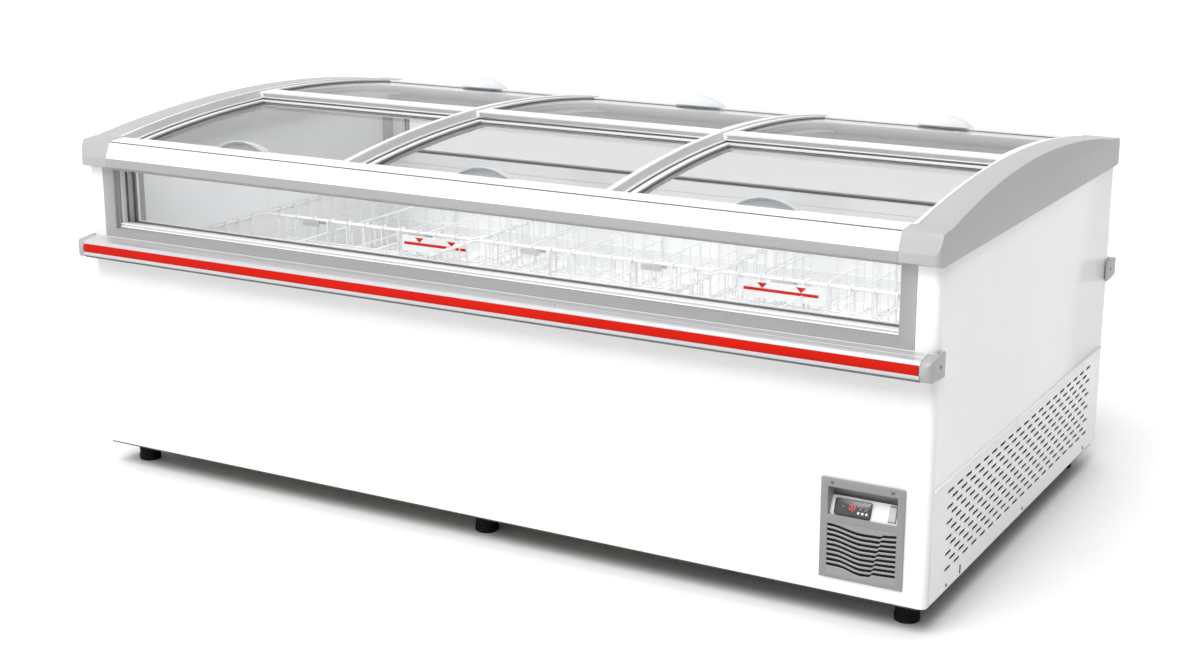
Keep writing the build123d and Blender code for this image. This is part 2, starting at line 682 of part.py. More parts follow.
def thermostat():
    """Flange on the plate and body behind it, with a blind hole for each button."""
    w, h = THERMOSTAT
    flange = Pos(0, 0, 3.5) * Box(w, h, 5)
    flange = fillet(flange.edges().filter_by(Axis.Z), 3)
    body = Pos(0, 0, -13) * Box(w - 6, h - 6, 28)
    unit = flange + body
    for x, y in BUTTON_PLACES:
        unit -= Pos(x, y, 4.5) * Cylinder(BUTTON_RADIUS + 0.1, 5)
    return thermostat_place() * unit


def button(place):
    cap = Pos(place[0], place[1], 5.3) * Cylinder(BUTTON_RADIUS, 3.4)
    return thermostat_place() * fillet(cap.edges().sort_by(Axis.Z)[-1], 0.6)


def rocker():
    block = fillet(Box(*ROCKER).edges().filter_by(Axis.X), 1)
    return rocker_place() * Pos(0, 0, 1.5) * Rot(ROCKER_TILT, 0, 0) * block


def screw_places():
    """Point on the surface and outward direction of each panel screw."""
    front = [((x, -HALF_Y - BEZEL_PROUD, 255.0), (0, -1, 0)) for x in (752, 862)]
    sides = []
    for x in (-1, 1):
        for y, z in ((-423, 61), (7, 61), (423, 61)):
            sides.append(((x * HALF_X, y, z), (x, 0, 0)))
    return front + sides


def screws():
    heads = []
    for place, out in screw_places():
        seat = Plane(origin=place, z_dir=out)
        head = fillet((Pos(0, 0, 0.8) * Cylinder(3.6, 1.6)).edges().sort_by(Axis.Z)[-1], 0.7)
        heads.append(seat * (head + Pos(0, 0, -3) * Cylinder(1.6, 6)))
    return heads


def screw_holes():
    hole = Pos(0, 0, -3) * Cylinder(1.7, 8)
    return [Plane(origin=place, z_dir=out) * hole for place, out in screw_places()]


# ---- refrigeration set ----------------------------------------------------------------------
def compressor():
    """A domed can on a base plate, with a terminal box and two tube stubs, and the pump inside it."""
    x, y = COMPRESSOR
    can = Pos(x, y, 162) * Cylinder(COMPRESSOR_RADIUS, 140)
    can = fillet(can.edges().sort_by(Axis.Z)[-1], 45)
    can = fillet(can.edges().sort_by(Axis.Z)[0], 20)
    cavity = Pos(x, y, 162) * Cylinder(COMPRESSOR_RADIUS - 4, 132)
    cavity = fillet(cavity.edges().sort_by(Axis.Z)[-1], 41)
    cavity = fillet(cavity.edges().sort_by(Axis.Z)[0], 16)
    pump = Pos(x, y, 150) * Cylinder(52, 92)
    base = slab((x - 95, x + 95), (y - 60, y + 60), (TRAY_TOP, TRAY_TOP + 14))
    terminal = slab((x - 25, x + 25), (y - 105, y - 60), (130, 180))
    stub = rod_x(TUBE_RADIUS, (x - 95, x + 95), y, 150)
    return [can + base + terminal + stub - cavity, pump]


def condenser():
    """A fin pack on eight tubes between two end plates."""
    x, y, z = (830.0, 880.0), (-300.0, 60.0), (86.0, 250.0)
    pack = [slab(x, (end, end + 1.5), z) for end in (y[0], y[1] - 1.5)]
    fins = 36
    pitch = (y[1] - y[0] - 1.5) / fins
    for i in range(1, fins):
        edge = y[0] + i * pitch
        pack.append(slab((x[0] + 3, x[1] - 3), (edge, edge + 0.8), (z[0] + 3, z[1] - 3)))
    tubes = [rod_y(TUBE_RADIUS, cx, y, z[0] + 14 + 45 * row) for cx in (842, 868) for row in range(4)]
    tubes.append(rod_y(TUBE_RADIUS, 855, (y[0] - 15, y[0] + 10), 100))
    tubes.append(rod_y(TUBE_RADIUS, 855, (y[1] - 10, y[1] + 15), 236))
    return Part() + pack + tubes


def fan_motor():
    """Motor can with its pedestal and shaft."""
    y, z = FAN_CENTRE
    can = rod_x(32, (708, 750), y, z)
    pedestal = slab((716, 742), (y - 18, y + 18), (TRAY_TOP, z - 20))
    plate = slab((706, 752), (y - 35, y + 35), (TRAY_TOP, TRAY_TOP + 3))
    return can + pedestal + plate + rod_x(SHAFT_RADIUS, (745, FAN_X[1] - 3), y, z)


def fan_blade():
    """Hub with five pitched blades."""
    y, z = FAN_CENTRE
    x = sum(FAN_X) / 2
    hub = Cylinder(15, FAN_X[1] - FAN_X[0])
    wing = Pos(FAN_RADIUS / 2 + 5, 0, 0) * Rot(28, 0, 0) * Box(FAN_RADIUS - 12, 30, 1.6)
    wings = [Rot(0, 0, 72 * i) * wing for i in range(5)]
    wheel = (hub + wings) & Cylinder(FAN_RADIUS, 40)
    wheel -= Cylinder(SHAFT_RADIUS + 0.06, 60)
    return Pos(x, y, z) * Rot(0, 90, 0) * wheel


def fan_shroud():
    """A plate on the tray with a round throat about the fan."""
    y, z = FAN_CENTRE
    plate = slab((804, 807), (y - 180, y + 180), (TRAY_TOP, 250))
    throat = rod_x(FAN_RADIUS + 7, (772, 807), y, z)
    opening = rod_x(FAN_RADIUS + 4, (760, 820), y, z)
    return plate + throat - opening


def pipes():
    """Liquid, suction and discharge lines."""
    x = TANK_HALF_X + LINER + TUBE_STANDOFF
    cx, cy = COMPRESSOR
    top = TUB_BOTTOM - FIT
    liquid = [(-x, -440, top), (-x, -440, 234), (855, -440, 234), (855, -440, 100), (855, -315, 100)]
    suction = [(-x - 16, -440, top), (-x - 16, -440, 214), (450, -440, 214), (450, cy, 214), (450, cy, 150)]
    suction.append((cx - 95, cy, 150))
    discharge = [(cx + 95, cy, 150), (745, cy, 150), (745, cy, 236), (855, cy, 236), (855, 75, 236)]
    return [tube(line, TUBE_RADIUS, 12) for line in (liquid, suction, discharge)]


def cable_gland():
    """A hexagonal gland on the rear panel with a blind mouth."""
    nut = Pos(0, 0, 3) * extrude(RegularPolygon(13, 6), amount=6)
    flange = Pos(0, 0, 1.5) * Cylinder(14, 3)
    neck = Pos(0, 0, 8) * Cylinder(9, 10)
    gland = flange + nut + neck - Pos(0, 0, 10) * Cylinder(4.2, 12)
    x, z = GLAND_PLACE
    return Plane(origin=(x, HALF_Y + FIT, z), z_dir=(0, 1, 0)) * gland


# ---- the whole freezer ----------------------------------------------------------------------
def both_sides(piece):
    return [piece, rear(piece)]


def both_ends(piece):
    return [piece, other_end(piece)]


def front_and_rear(pieces):
    return [copy for piece in pieces for copy in both_sides(piece)]


nodes["base_frame"] = base_frame()
nodes["levelling_feet"] = feet()
nodes["foot_studs"] = studs()
nodes["front_panel"] = [front_panel()]
nodes["rear_panel"] = [rear(wrapped_panel())]
nodes["side_panels"] = both_ends(side_panel())
nodes["vent_panels"] = both_ends(vent_panel())
nodes["corner_posts"] = four_corners(corner_post())
nodes["insulation_foam"] = [foam()]
nodes["inner_liner"] = liner()
nodes["evaporator_tube"] = [evaporator()]
nodes["window_frames"] = front_and_rear(window_frame())
nodes["window_beads"] = front_and_rear(window_beads())
nodes["window_glass"] = front_and_rear(window_panes())
nodes["top_profiles"] = both_sides(top_profile())
nodes["top_trims"] = both_sides(top_trim())
nodes["end_caps"] = both_ends(end_cap())
nodes["lid_rails"] = rails()
nodes["bumper_rails"] = both_bumpers(bumper_rail)
nodes["bumper_inserts"] = both_bumpers(bumper_insert)
nodes["bumper_end_caps"] = both_bumpers(bumper_cap) + [other_end(cap) for cap in both_bumpers(bumper_cap)]
nodes["control_bezel"] = [bezel()]
nodes["control_plate"] = [control_plate()]
nodes["thermostat"] = [thermostat()]
nodes["power_rocker"] = [rocker()]
nodes["panel_screws"] = screws()
nodes["compressor"] = compressor()
nodes["condenser"] = [condenser()]
nodes["fan_motor"] = [fan_motor()]
nodes["fan_blade"] = [fan_blade()]
nodes["fan_shroud"] = [fan_shroud()]
nodes["refrigerant_pipes"] = pipes()
nodes["cable_gland"] = [cable_gland()]

for number, place in enumerate(BUTTON_PLACES, 1):
    nodes[f"thermostat_button_{number}"] = [button(place)]

for name, centre in zip(BAY_NAMES, BAY_CENTRES):
    nodes[f"front_basket_{name}"] = basket(centre, FRONT_BASKET_Y)
    nodes[f"rear_basket_{name}"] = basket(centre, REAR_BASKET_Y)
    for row, is_front in (("front", True), ("rear", False)):
        nodes[f"{row}_lid_{name}_frame"] = lid_frame(centre, is_front)
        nodes[f"{row}_lid_{name}_glass"] = [lid_glass(centre, is_front)]
        nodes[f"{row}_lid_{name}_handle"] = [lid_handle(centre, is_front)]

os.makedirs("parts", exist_ok=True)
for name, shapes in nodes.items():
    solids = [solid for shape in shapes for solid in shape.solids()]
    export_step(Compound(solids), f"parts/{name}.step")
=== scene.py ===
import json
from math import asin, atan2, cos, pi, radians, sin, sqrt

import bmesh
import bpy
from mathutils import Matrix, Vector


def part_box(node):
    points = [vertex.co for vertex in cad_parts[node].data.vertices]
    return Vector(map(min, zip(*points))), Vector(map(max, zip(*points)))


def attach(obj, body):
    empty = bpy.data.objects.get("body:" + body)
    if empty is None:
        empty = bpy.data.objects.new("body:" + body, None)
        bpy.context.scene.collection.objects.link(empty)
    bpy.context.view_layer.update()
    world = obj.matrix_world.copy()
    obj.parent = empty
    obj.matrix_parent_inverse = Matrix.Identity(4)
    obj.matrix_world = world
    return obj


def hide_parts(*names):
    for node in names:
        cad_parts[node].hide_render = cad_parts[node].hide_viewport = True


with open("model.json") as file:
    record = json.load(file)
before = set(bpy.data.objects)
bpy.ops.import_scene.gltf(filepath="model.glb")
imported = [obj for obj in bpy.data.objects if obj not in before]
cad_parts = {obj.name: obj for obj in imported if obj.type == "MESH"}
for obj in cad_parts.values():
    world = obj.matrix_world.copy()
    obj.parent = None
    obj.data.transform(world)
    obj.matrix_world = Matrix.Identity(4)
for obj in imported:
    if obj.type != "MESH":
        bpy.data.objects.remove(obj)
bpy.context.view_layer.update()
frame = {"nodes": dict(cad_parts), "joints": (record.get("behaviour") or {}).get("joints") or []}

# Metres, in the CAD model's frame: +X along the length, -Y to the front, +Z up.
BAYS = {"left": -0.58, "middle": 0.0, "right": 0.58}
ARCH_Z = -2.3                                  # the lids' rails curve about a line at this height
FRONT_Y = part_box("front_panel")[0].y
TOP_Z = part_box("top_profiles")[0].z


# ---- mesh helpers ---------------------------------------------------------------------------
def link(obj):
    bpy.context.scene.collection.objects.link(obj)
    return obj


def shade(mesh, angle=35):
    mesh.polygons.foreach_set("use_smooth", [True] * len(mesh.polygons))
    mesh.set_sharp_from_angle(angle=radians(angle))


def settle(obj):
    """Applies the modifiers to the mesh."""
    seen = obj.evaluated_get(bpy.context.evaluated_depsgraph_get())
    mesh = bpy.data.meshes.new_from_object(seen)
    obj.modifiers.clear()
    obj.data = mesh
    return obj


def bevel(obj, width, segments=3, angle=30):
    mod = obj.modifiers.new("bevel", "BEVEL")
    mod.width, mod.segments, mod.limit_method = width, segments, "ANGLE"
    mod.angle_limit, mod.use_clamp_overlap = radians(angle), True
    return settle(obj)


def from_lists(name, verts, faces):
    mesh = bpy.data.meshes.new(name)
    mesh.from_pydata([tuple(v) for v in verts], [], faces)
    mesh.validate()
    work = bmesh.new()
    work.from_mesh(mesh)
    bmesh.ops.remove_doubles(work, verts=work.verts, dist=1e-6)
    bmesh.ops.recalc_face_normals(work, faces=work.faces)
    work.to_mesh(mesh)
    work.free()
    return link(bpy.data.objects.new(name, mesh))


class Shape:
    """Collects vertices and faces of one piece."""

    def __init__(self):
        self.verts, self.faces = [], []

    def add(self, verts, faces):
        base = len(self.verts)
        self.verts += [Vector(v) for v in verts]
        self.faces += [[base + i for i in face] for face in faces]

    def strip(self, rings, closed_ring=True, closed_run=False, caps=True):
        """Skins a run of equal rings."""
        n, m = len(rings[0]), len(rings)
        faces = []
        for i in range(m if closed_run else m - 1):
            for j in range(n if closed_ring else n - 1):
                a, b = i * n + j, i * n + (j + 1) % n
                c, d = ((i + 1) % m) * n + (j + 1) % n, ((i + 1) % m) * n + j
                faces.append([a, b, c, d])
        if caps and closed_ring and not closed_run:
            faces += [list(range(n))[::-1], [(m - 1) * n + j for j in range(n)]]
        self.add([v for ring in rings for v in ring], faces)

    def block(self, low, high, place=None):
        x, y, z = zip(low, high)
        corners = [Vector((x[i], y[j], z[k])) for k in (0, 1) for j in (0, 1) for i in (0, 1)]
        if place:
            corners = [place @ c for c in corners]
        self.add(corners, [[0, 2, 3, 1], [4, 5, 7, 6], [0, 1, 5, 4], [2, 6, 7, 3], [0, 4, 6, 2], [1, 3, 7, 5]])

    def wire(self, points, radius, sides=8):
        """A round wire through the points, with mitred turns."""
        points = [Vector(p) for p in points]
        rings = []
        across = None
        for i, p in enumerate(points):
            before = (p - points[i - 1]).normalized() if i else None
            after = (points[i + 1] - p).normalized() if i + 1 < len(points) else None
            along = ((before or after) + (after or before)).normalized()
            if across is None:
                across = along.orthogonal().normalized()
            across = (across - along * across.dot(along)).normalized()
            other = along.cross(across)
            turn = [2 * pi * k / sides for k in range(sides)]
            rings.append([p + radius * (across * cos(t) + other * sin(t)) for t in turn])
        self.strip(rings)

    def make(self, name):
        return from_lists(name, self.verts, self.faces)


def finish_piece(obj, body, material, replaces=(), angle=35):
    """Gives a piece its material and its body, and hides the CAD nodes that it stands for."""
    obj.data.materials.clear()
    obj.data.materials.append(material)
    shade(obj.data, angle)
    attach(obj, body)
    if replaces:
        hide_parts(*replaces)
    return obj


def softened(node, name, width, segments=3, angle=30):
    """A copy of a CAD node with its edges rounded, for pieces whose CAD shape is right."""
    obj = frame["nodes"][node].copy()
    obj.data = obj.data.copy()
    obj.name = name
    for key in list(obj.keys()):
        del obj[key]
    obj.parent = None
    obj.matrix_world = Matrix.Identity(4)
    link(obj)
    work = bmesh.new()
    work.from_mesh(obj.data)
    bmesh.ops.remove_doubles(work, verts=work.verts, dist=2e-6)
    for edge in work.edges:
        edge.smooth = True
    bmesh.ops.dissolve_limit(work, angle_limit=radians(0.2), verts=work.verts, edges=work.edges)
    work.to_mesh(obj.data)
    work.free()
    if "custom_normal" in obj.data.attributes:
        obj.data.attributes.remove(obj.data.attributes["custom_normal"])
    return bevel(obj, width, segments, angle)


def arc(centre, radius, start, end, steps):
    """Points of a circle's arc, in degrees."""
    angles = [radians(start + (end - start) * i / steps) for i in range(steps + 1)]
    return [(centre[0] + radius * cos(a), centre[1] + radius * sin(a)) for a in angles]


def arc_through(p, q, r, steps):
    """Points of the circle through three points, from p by way of q to r."""
    (ax, ay), (bx, by), (cx, cy) = p, q, r
    d = 2 * (ax * (by - cy) + bx * (cy - ay) + cx * (ay - by))
    ux = ((ax**2 + ay**2) * (by - cy) + (bx**2 + by**2) * (cy - ay) + (cx**2 + cy**2) * (ay - by)) / d
    uy = ((ax**2 + ay**2) * (cx - bx) + (bx**2 + by**2) * (ax - cx) + (cx**2 + cy**2) * (bx - ax)) / d
    radius = sqrt((ax - ux) ** 2 + (ay - uy) ** 2)
    turns = [atan2(v[1] - uy, v[0] - ux) for v in (p, q, r)]
    while turns[1] - turns[0] > pi:
        turns[1] -= 2 * pi
    while turns[0] - turns[1] > pi:
        turns[1] += 2 * pi
    while abs(turns[2] - turns[1]) > pi:
        turns[2] += 2 * pi if turns[2] < turns[1] else -2 * pi
    return [(ux + radius * cos(t), uy + radius * sin(t))
            for t in (turns[0] + (turns[2] - turns[0]) * i / steps for i in range(steps + 1))]


def rounded(points, radius, steps=4):
    """A closed outline with its corners rounded."""
    result = []
    for i, p in enumerate(points):
        p = Vector(p)
        a = (Vector(points[i - 1]) - p)
        b = (Vector(points[(i + 1) % len(points)]) - p)
        half = a.angle(b) / 2
        wanted = radius * cos(half) / sin(half) if half < pi / 2 - 1e-3 else 0
        reach = min(wanted, a.length * 0.45, b.length * 0.45)
        start, end = p + a.normalized() * reach, p + b.normalized() * reach
        for k in range(steps + 1):
            t = k / steps
            result.append(tuple(start * (1 - t) ** 2 + p * 2 * t * (1 - t) + end * t**2))
    return result


def prism(name, outline, x0, x1):
    """A bar along X from a closed (y, z) outline."""
    shape = Shape()
    shape.strip([[(x, y, z) for y, z in outline] for x in (x0, x1)])
    return shape.make(name)


def lathe(shape, outline, place, sides=40):
    """Turns an (r, z) outline about Z and puts it at a place."""
    turns = [2 * pi * k / sides for k in range(sides)]
    shape.strip([[place @ Vector((r * cos(t), r * sin(t), z)) for t in turns] for r, z in outline])


def mirrored(points):
    """A (y, z) outline moved to the rear."""
    return [(-y, z) for y, z in reversed(points)]


def arch_point(x, radius, degrees_back):
    a = radians(degrees_back)
    return Vector((x, radius * sin(a), ARCH_Z + radius * cos(a)))


def arch_place(x, radius, degrees_back):
    """The place of something that stands on the arch: Z points out of it."""
    turn = Matrix.Rotation(-radians(degrees_back), 4, "X")
    return Matrix.Translation(arch_point(x, radius, degrees_back)) @ turn


# ---- materials ------------------------------------------------------------------------------
def blank(name):
    mat = bpy.data.materials.new(name)
    mat.use_nodes = True
    nodes = mat.node_tree.nodes
    return mat, nodes, mat.node_tree.links, nodes["Principled BSDF"]


def noise(nodes, links, scale, detail=3.0, stretch=(1, 1, 1)):
    where = nodes.new("ShaderNodeTexCoord")
    mapping = nodes.new("ShaderNodeMapping")
    mapping.inputs["Scale"].default_value = stretch
    texture = nodes.new("ShaderNodeTexNoise")
    texture.inputs["Scale"].default_value = scale
    texture.inputs["Detail"].default_value = detail
    links.new(where.outputs["Object"], mapping.inputs["Vector"])
    links.new(mapping.outputs["Vector"], texture.inputs["Vector"])
    return texture.outputs["Fac"]


def ramp(nodes, links, factor, low, high, start=0.3, end=0.7):
    node = nodes.new("ShaderNodeValToRGB")
    node.color_ramp.elements[0].position, node.color_ramp.elements[1].position = start, end
    node.color_ramp.elements[0].color = (*low, 1)
    node.color_ramp.elements[1].color = (*high, 1)
    links.new(factor, node.inputs["Fac"])
    return node.outputs["Color"]


def spread(nodes, links, factor, low, high):
    node = nodes.new("ShaderNodeMapRange")
    node.inputs["To Min"].default_value, node.inputs["To Max"].default_value = low, high
    links.new(factor, node.inputs["Value"])
    return node.outputs["Result"]


def finish(name, colour, rough, metallic=0.0, coat=0.0, grain=900.0, depth=0.02, mottle=0.03, patch=6.0,
           stretch=(1, 1, 1), edge=0.0, shine=0.5):
    """A surface with fine relief, uneven gloss, slight mottling and, if asked, rubbed edges."""
    mat, nodes, links, bsdf = blank(name)
    fine = noise(nodes, links, grain, 2.0, stretch)
    broad = noise(nodes, links, patch, 4.0)
    low = tuple(c * (1 - mottle) for c in colour)
    high = tuple(min(1.0, c * (1 + mottle)) for c in colour)
    tone = ramp(nodes, links, broad, low, high)
    if edge:
        geometry = nodes.new("ShaderNodeNewGeometry")
        rubbed = ramp(nodes, links, geometry.outputs["Pointiness"], (0, 0, 0), (1, 1, 1), 0.52, 0.6)
        mix = nodes.new("ShaderNodeMix")
        mix.data_type = "RGBA"
        worn = tuple(min(1.0, c * (1 + edge)) for c in colour)
        mix.inputs[7].default_value = (*worn, 1)
        links.new(rubbed, mix.inputs[0])
        links.new(tone, mix.inputs[6])
        tone = mix.outputs[2]
    links.new(tone, bsdf.inputs["Base Color"])
    links.new(spread(nodes, links, noise(nodes, links, patch * 5, 3.0), rough * 0.85, min(1, rough * 1.15)),
              bsdf.inputs["Roughness"])
    bump = nodes.new("ShaderNodeBump")
    bump.inputs["Strength"].default_value = depth * 5
    bump.inputs["Distance"].default_value = 0.0004
    links.new(fine, bump.inputs["Height"])
    links.new(bump.outputs["Normal"], bsdf.inputs["Normal"])
    bsdf.inputs["Metallic"].default_value = metallic
    bsdf.inputs["Specular IOR Level"].default_value = shine
    bsdf.inputs["Coat Weight"].default_value = coat
    bsdf.inputs["Coat Roughness"].default_value = 0.15
    return mat


def glass(name, tint, mirror, gleam, rough=0.02, dust=0.02):
    """Thin clear glass: see-through, with a mirror share on its outer skin that grows at a slant."""
    mat, nodes, links, bsdf = blank(name)
    bsdf.inputs["Base Color"].default_value = (gleam, gleam, gleam, 1)
    bsdf.inputs["Metallic"].default_value = 1.0
    smear = noise(nodes, links, 9.0, 5.0)
    links.new(spread(nodes, links, smear, rough, rough + 0.05), bsdf.inputs["Roughness"])
    clear = nodes.new("ShaderNodeBsdfTransparent")
    clear.inputs["Color"].default_value = (*tint, 1)
    fresnel = nodes.new("ShaderNodeFresnel")
    fresnel.inputs["IOR"].default_value = mirror
    film = spread(nodes, links, smear, 0.0, dust)
    add = nodes.new("ShaderNodeMath")
    add.operation, add.use_clamp = "ADD", True
    links.new(fresnel.outputs["Fac"], add.inputs[0])
    links.new(film, add.inputs[1])
    geometry = nodes.new("ShaderNodeNewGeometry")
    share = nodes.new("ShaderNodeMapRange")
    share.inputs["To Min"].default_value = 0.0
    outer = spread(nodes, links, geometry.outputs["Backfacing"], 1.0, 0.0)
    links.new(add.outputs["Value"], share.inputs["Value"])
    links.new(outer, share.inputs["To Max"])
    mix = nodes.new("ShaderNodeMixShader")
    links.new(share.outputs["Result"], mix.inputs["Fac"])
    links.new(clear.outputs["BSDF"], mix.inputs[1])
    links.new(bsdf.outputs["BSDF"], mix.inputs[2])
    links.new(mix.outputs["Shader"], nodes["Material Output"].inputs["Surface"])
    return mat


def glow(name, colour, strength):
    mat, nodes, links, bsdf = blank(name)
    tone = ramp(nodes, links, noise(nodes, links, 700, 2.0), tuple(c * 0.8 for c in colour), colour)
    links.new(tone, bsdf.inputs["Base Color"])
    links.new(tone, bsdf.inputs["Emission Color"])
    bsdf.inputs["Emission Strength"].default_value = strength
    return mat


WHITE_PAINT = finish("white powder coat", (0.84, 0.84, 0.845), 0.32, coat=0.25, grain=700, depth=0.015, mottle=0.012)
WHITE_PLASTIC = finish("white plastic", (0.84, 0.84, 0.84), 0.3, grain=1500, depth=0.015, mottle=0.01, edge=0.05)
CAP_PLASTIC = finish("grey moulding", (0.40, 0.40, 0.405), 0.42, grain=1300, depth=0.05, mottle=0.02, edge=0.12)
GREY_METAL = finish("grey anodised", (0.32, 0.32, 0.325), 0.38, metallic=0.25, grain=160, depth=0.02,
                    mottle=0.02, stretch=(0.06, 6, 6), edge=0.15)
BUMPER_METAL = finish("bumper aluminium", (0.53, 0.53, 0.54), 0.3, metallic=0.55, grain=160, depth=0.02,
                      mottle=0.02, stretch=(0.06, 6, 6), edge=0.15)
BUMPER_CAP = finish("bumper end plastic", (0.36, 0.36, 0.37), 0.38, grain=1300, depth=0.05, mottle=0.03, edge=0.15)
RED_STRIP = finish("red strip", (0.52, 0.006, 0.0), 0.6, grain=500, depth=0.03, mottle=0.05, stretch=(0.05, 4, 4),
                   shine=0.12)
BLACK_RUBBER = finish("black rubber", (0.004, 0.004, 0.004), 0.75, grain=900, depth=0.08, mottle=0.2, edge=0.6,
                      shine=0.2)
BLACK_STEEL = finish("black frame paint", (0.02, 0.02, 0.022), 0.45, grain=600, depth=0.04, mottle=0.1, edge=0.5)
# Dark grey for seals, gaskets and brush strips; also painted shade in the top seam groove and along the bumpers'
# lower edges.
SEAL_AND_SHADE = finish("grey seal and painted shade", (0.12, 0.12, 0.125), 0.6, grain=1200, depth=0.05, mottle=0.1)
LINER = finish("liner", (0.86, 0.865, 0.87), 0.34, coat=0.1, grain=500, depth=0.012, mottle=0.008)
WIRE = finish("wire coating", (0.84, 0.84, 0.845), 0.35, coat=0.4, grain=900, depth=0.03, mottle=0.04)
BEAD_GREY = finish("light grey bead", (0.56, 0.56, 0.565), 0.35, grain=160, depth=0.02, mottle=0.02, edge=0.2)
# Mid grey for spacers, uprights and gaskets; also painted shade on the rear lids' bar faces.
REVEAL = finish("reveal grey", (0.40, 0.40, 0.405), 0.5, grain=900, depth=0.03, mottle=0.05)
# Near-black for sheets behind slots and in gaps: painted shade.
SHADE_BLACK = finish("painted shade black", (0.006, 0.006, 0.006), 0.9, grain=500, depth=0.3, mottle=0.3)
GRIP = finish("basket grip", (0.52, 0.52, 0.525), 0.5, grain=1200, depth=0.05, mottle=0.05)
PANEL_PLASTIC = finish("control panel plastic", (0.235, 0.235, 0.24), 0.42, grain=1500, depth=0.06, mottle=0.03,
                       edge=0.2)
THERMOSTAT = finish("thermostat case", (0.035, 0.035, 0.04), 0.16, coat=0.6, grain=1500, depth=0.01, mottle=0.1)
SWITCH = finish("switch", (0.50, 0.50, 0.50), 0.35, grain=1500, depth=0.03, mottle=0.02)
BUTTON = finish("key", (0.8, 0.66, 0.68), 0.3, grain=1500, depth=0.03, mottle=0.03)
SCREW = finish("screw", (0.2, 0.2, 0.2), 0.35, metallic=0.9, grain=1500, depth=0.05, mottle=0.1)
ZINC = finish("zinc plate", (0.55, 0.56, 0.58), 0.35, metallic=0.9, grain=40, depth=0.02, mottle=0.12, patch=60)
COPPER = finish("copper", (0.72, 0.36, 0.22), 0.3, metallic=0.95, grain=300, depth=0.03, mottle=0.12, patch=30)
FOAM = finish("foam", (0.86, 0.78, 0.52), 0.9, grain=420, depth=0.5, mottle=0.08, patch=40)
ENAMEL = finish("compressor enamel", (0.012, 0.012, 0.013), 0.25, coat=0.5, grain=350, depth=0.05, mottle=0.2)
FINS = finish("fin aluminium", (0.7, 0.7, 0.71), 0.4, metallic=0.9, grain=500, depth=0.06, mottle=0.08)
FAN = finish("fan plastic", (0.03, 0.03, 0.03), 0.4, grain=1200, depth=0.05, mottle=0.1)
LABEL_WHITE = finish("label", (0.88, 0.88, 0.88), 0.4, grain=1200, depth=0.01, mottle=0.01)
LABEL_RED = finish("label red", (0.6, 0.006, 0.003), 0.6, grain=1200, depth=0.01, mottle=0.03, shine=0.12)
LID_WHITE = finish("lid frame plastic", (0.78, 0.78, 0.785), 0.32, grain=1300, depth=0.02, mottle=0.01, edge=0.05)
RAIL = finish("lid rail", (0.76, 0.76, 0.765), 0.35, metallic=0.1, grain=160, depth=0.02, mottle=0.02,
              stretch=(6, 0.06, 6), edge=0.2)
DIGITS = glow("red digits", (0.75, 0.06, 0.04), 0.7)
LAMPS = glow("pink lamps", (0.7, 0.3, 0.34), 0.4)
WINDOW_GLASS = glass("window glass", (0.99, 0.991, 0.991), 1.2, 0.7, dust=0.006)
LID_GLASS = glass("lid glass", (0.885, 0.887, 0.887), 1.6, 0.33)


def handle_plastic():
    """Frosted clear plastic."""
    mat, nodes, links, bsdf = blank("frosted pull")
    links.new(ramp(nodes, links, noise(nodes, links, 60, 3.0), (0.70, 0.71, 0.72), (0.76, 0.77, 0.78)),
              bsdf.inputs["Base Color"])
    links.new(spread(nodes, links, noise(nodes, links, 300, 2.0), 0.22, 0.3), bsdf.inputs["Roughness"])
    clear = nodes.new("ShaderNodeBsdfTransparent")
    clear.inputs["Color"].default_value = (0.95, 0.96, 0.97, 1)
    edge_on = nodes.new("ShaderNodeLayerWeight")
    edge_on.inputs["Blend"].default_value = 0.35
    share = spread(nodes, links, edge_on.outputs["Facing"], 0.4, 0.95)
    mix = nodes.new("ShaderNodeMixShader")
    links.new(share, mix.inputs["Fac"])
    links.new(clear.outputs["BSDF"], mix.inputs[1])
    links.new(bsdf.outputs["BSDF"], mix.inputs[2])
    links.new(mix.outputs["Shader"], nodes["Material Output"].inputs["Surface"])
    return mat


PULL = handle_plastic()

CARRIED = {
    "base_frame": BLACK_STEEL, "foot_studs": ZINC, "vent_panels": WHITE_PAINT,
    "insulation_foam": FOAM, "inner_liner": LINER, "evaporator_tube": COPPER, "window_glass": WINDOW_GLASS,
    "compressor": ENAMEL, "condenser": FINS, "fan_motor": ZINC, "fan_blade": FAN, "fan_shroud": ZINC,
    "refrigerant_pipes": COPPER, "cable_gland": BLACK_RUBBER,
}


def paint_carried_nodes():
    for node, material in CARRIED.items():
        obj = frame["nodes"][node]
        obj.data.materials.clear()
        obj.data.materials.append(material)
    for bay in BAYS:
        for row in ("front", "rear"):
            obj = frame["nodes"][f"{row}_lid_{bay}_glass"]
            obj.data.materials.clear()
            obj.data.materials.append(LID_GLASS)


# ---- cabinet --------------------------------------------------------------------------------
def sheets():
    """The outer sheets, the corner posts and the leaning plate, each with its folded edges eased."""
    for node, slot in (("front_panel", "white_steel"), ("rear_panel", "white_steel"), ("side_panels", "white_steel"),
                       ("corner_posts", "white_plastic"), ("control_plate", "white_plastic")):
        material = WHITE_PAINT if slot == "white_steel" else WHITE_PLASTIC
        finish_piece(softened(node, f"eased_{node}", 0.0004, 2), "cabinet", material, (node,))


def end_caps():
    caps = softened("end_caps", "arched_end_caps", 0.0035, 4, 12)
    finish_piece(caps, "cabinet", CAP_PLASTIC, ("end_caps",), 50)


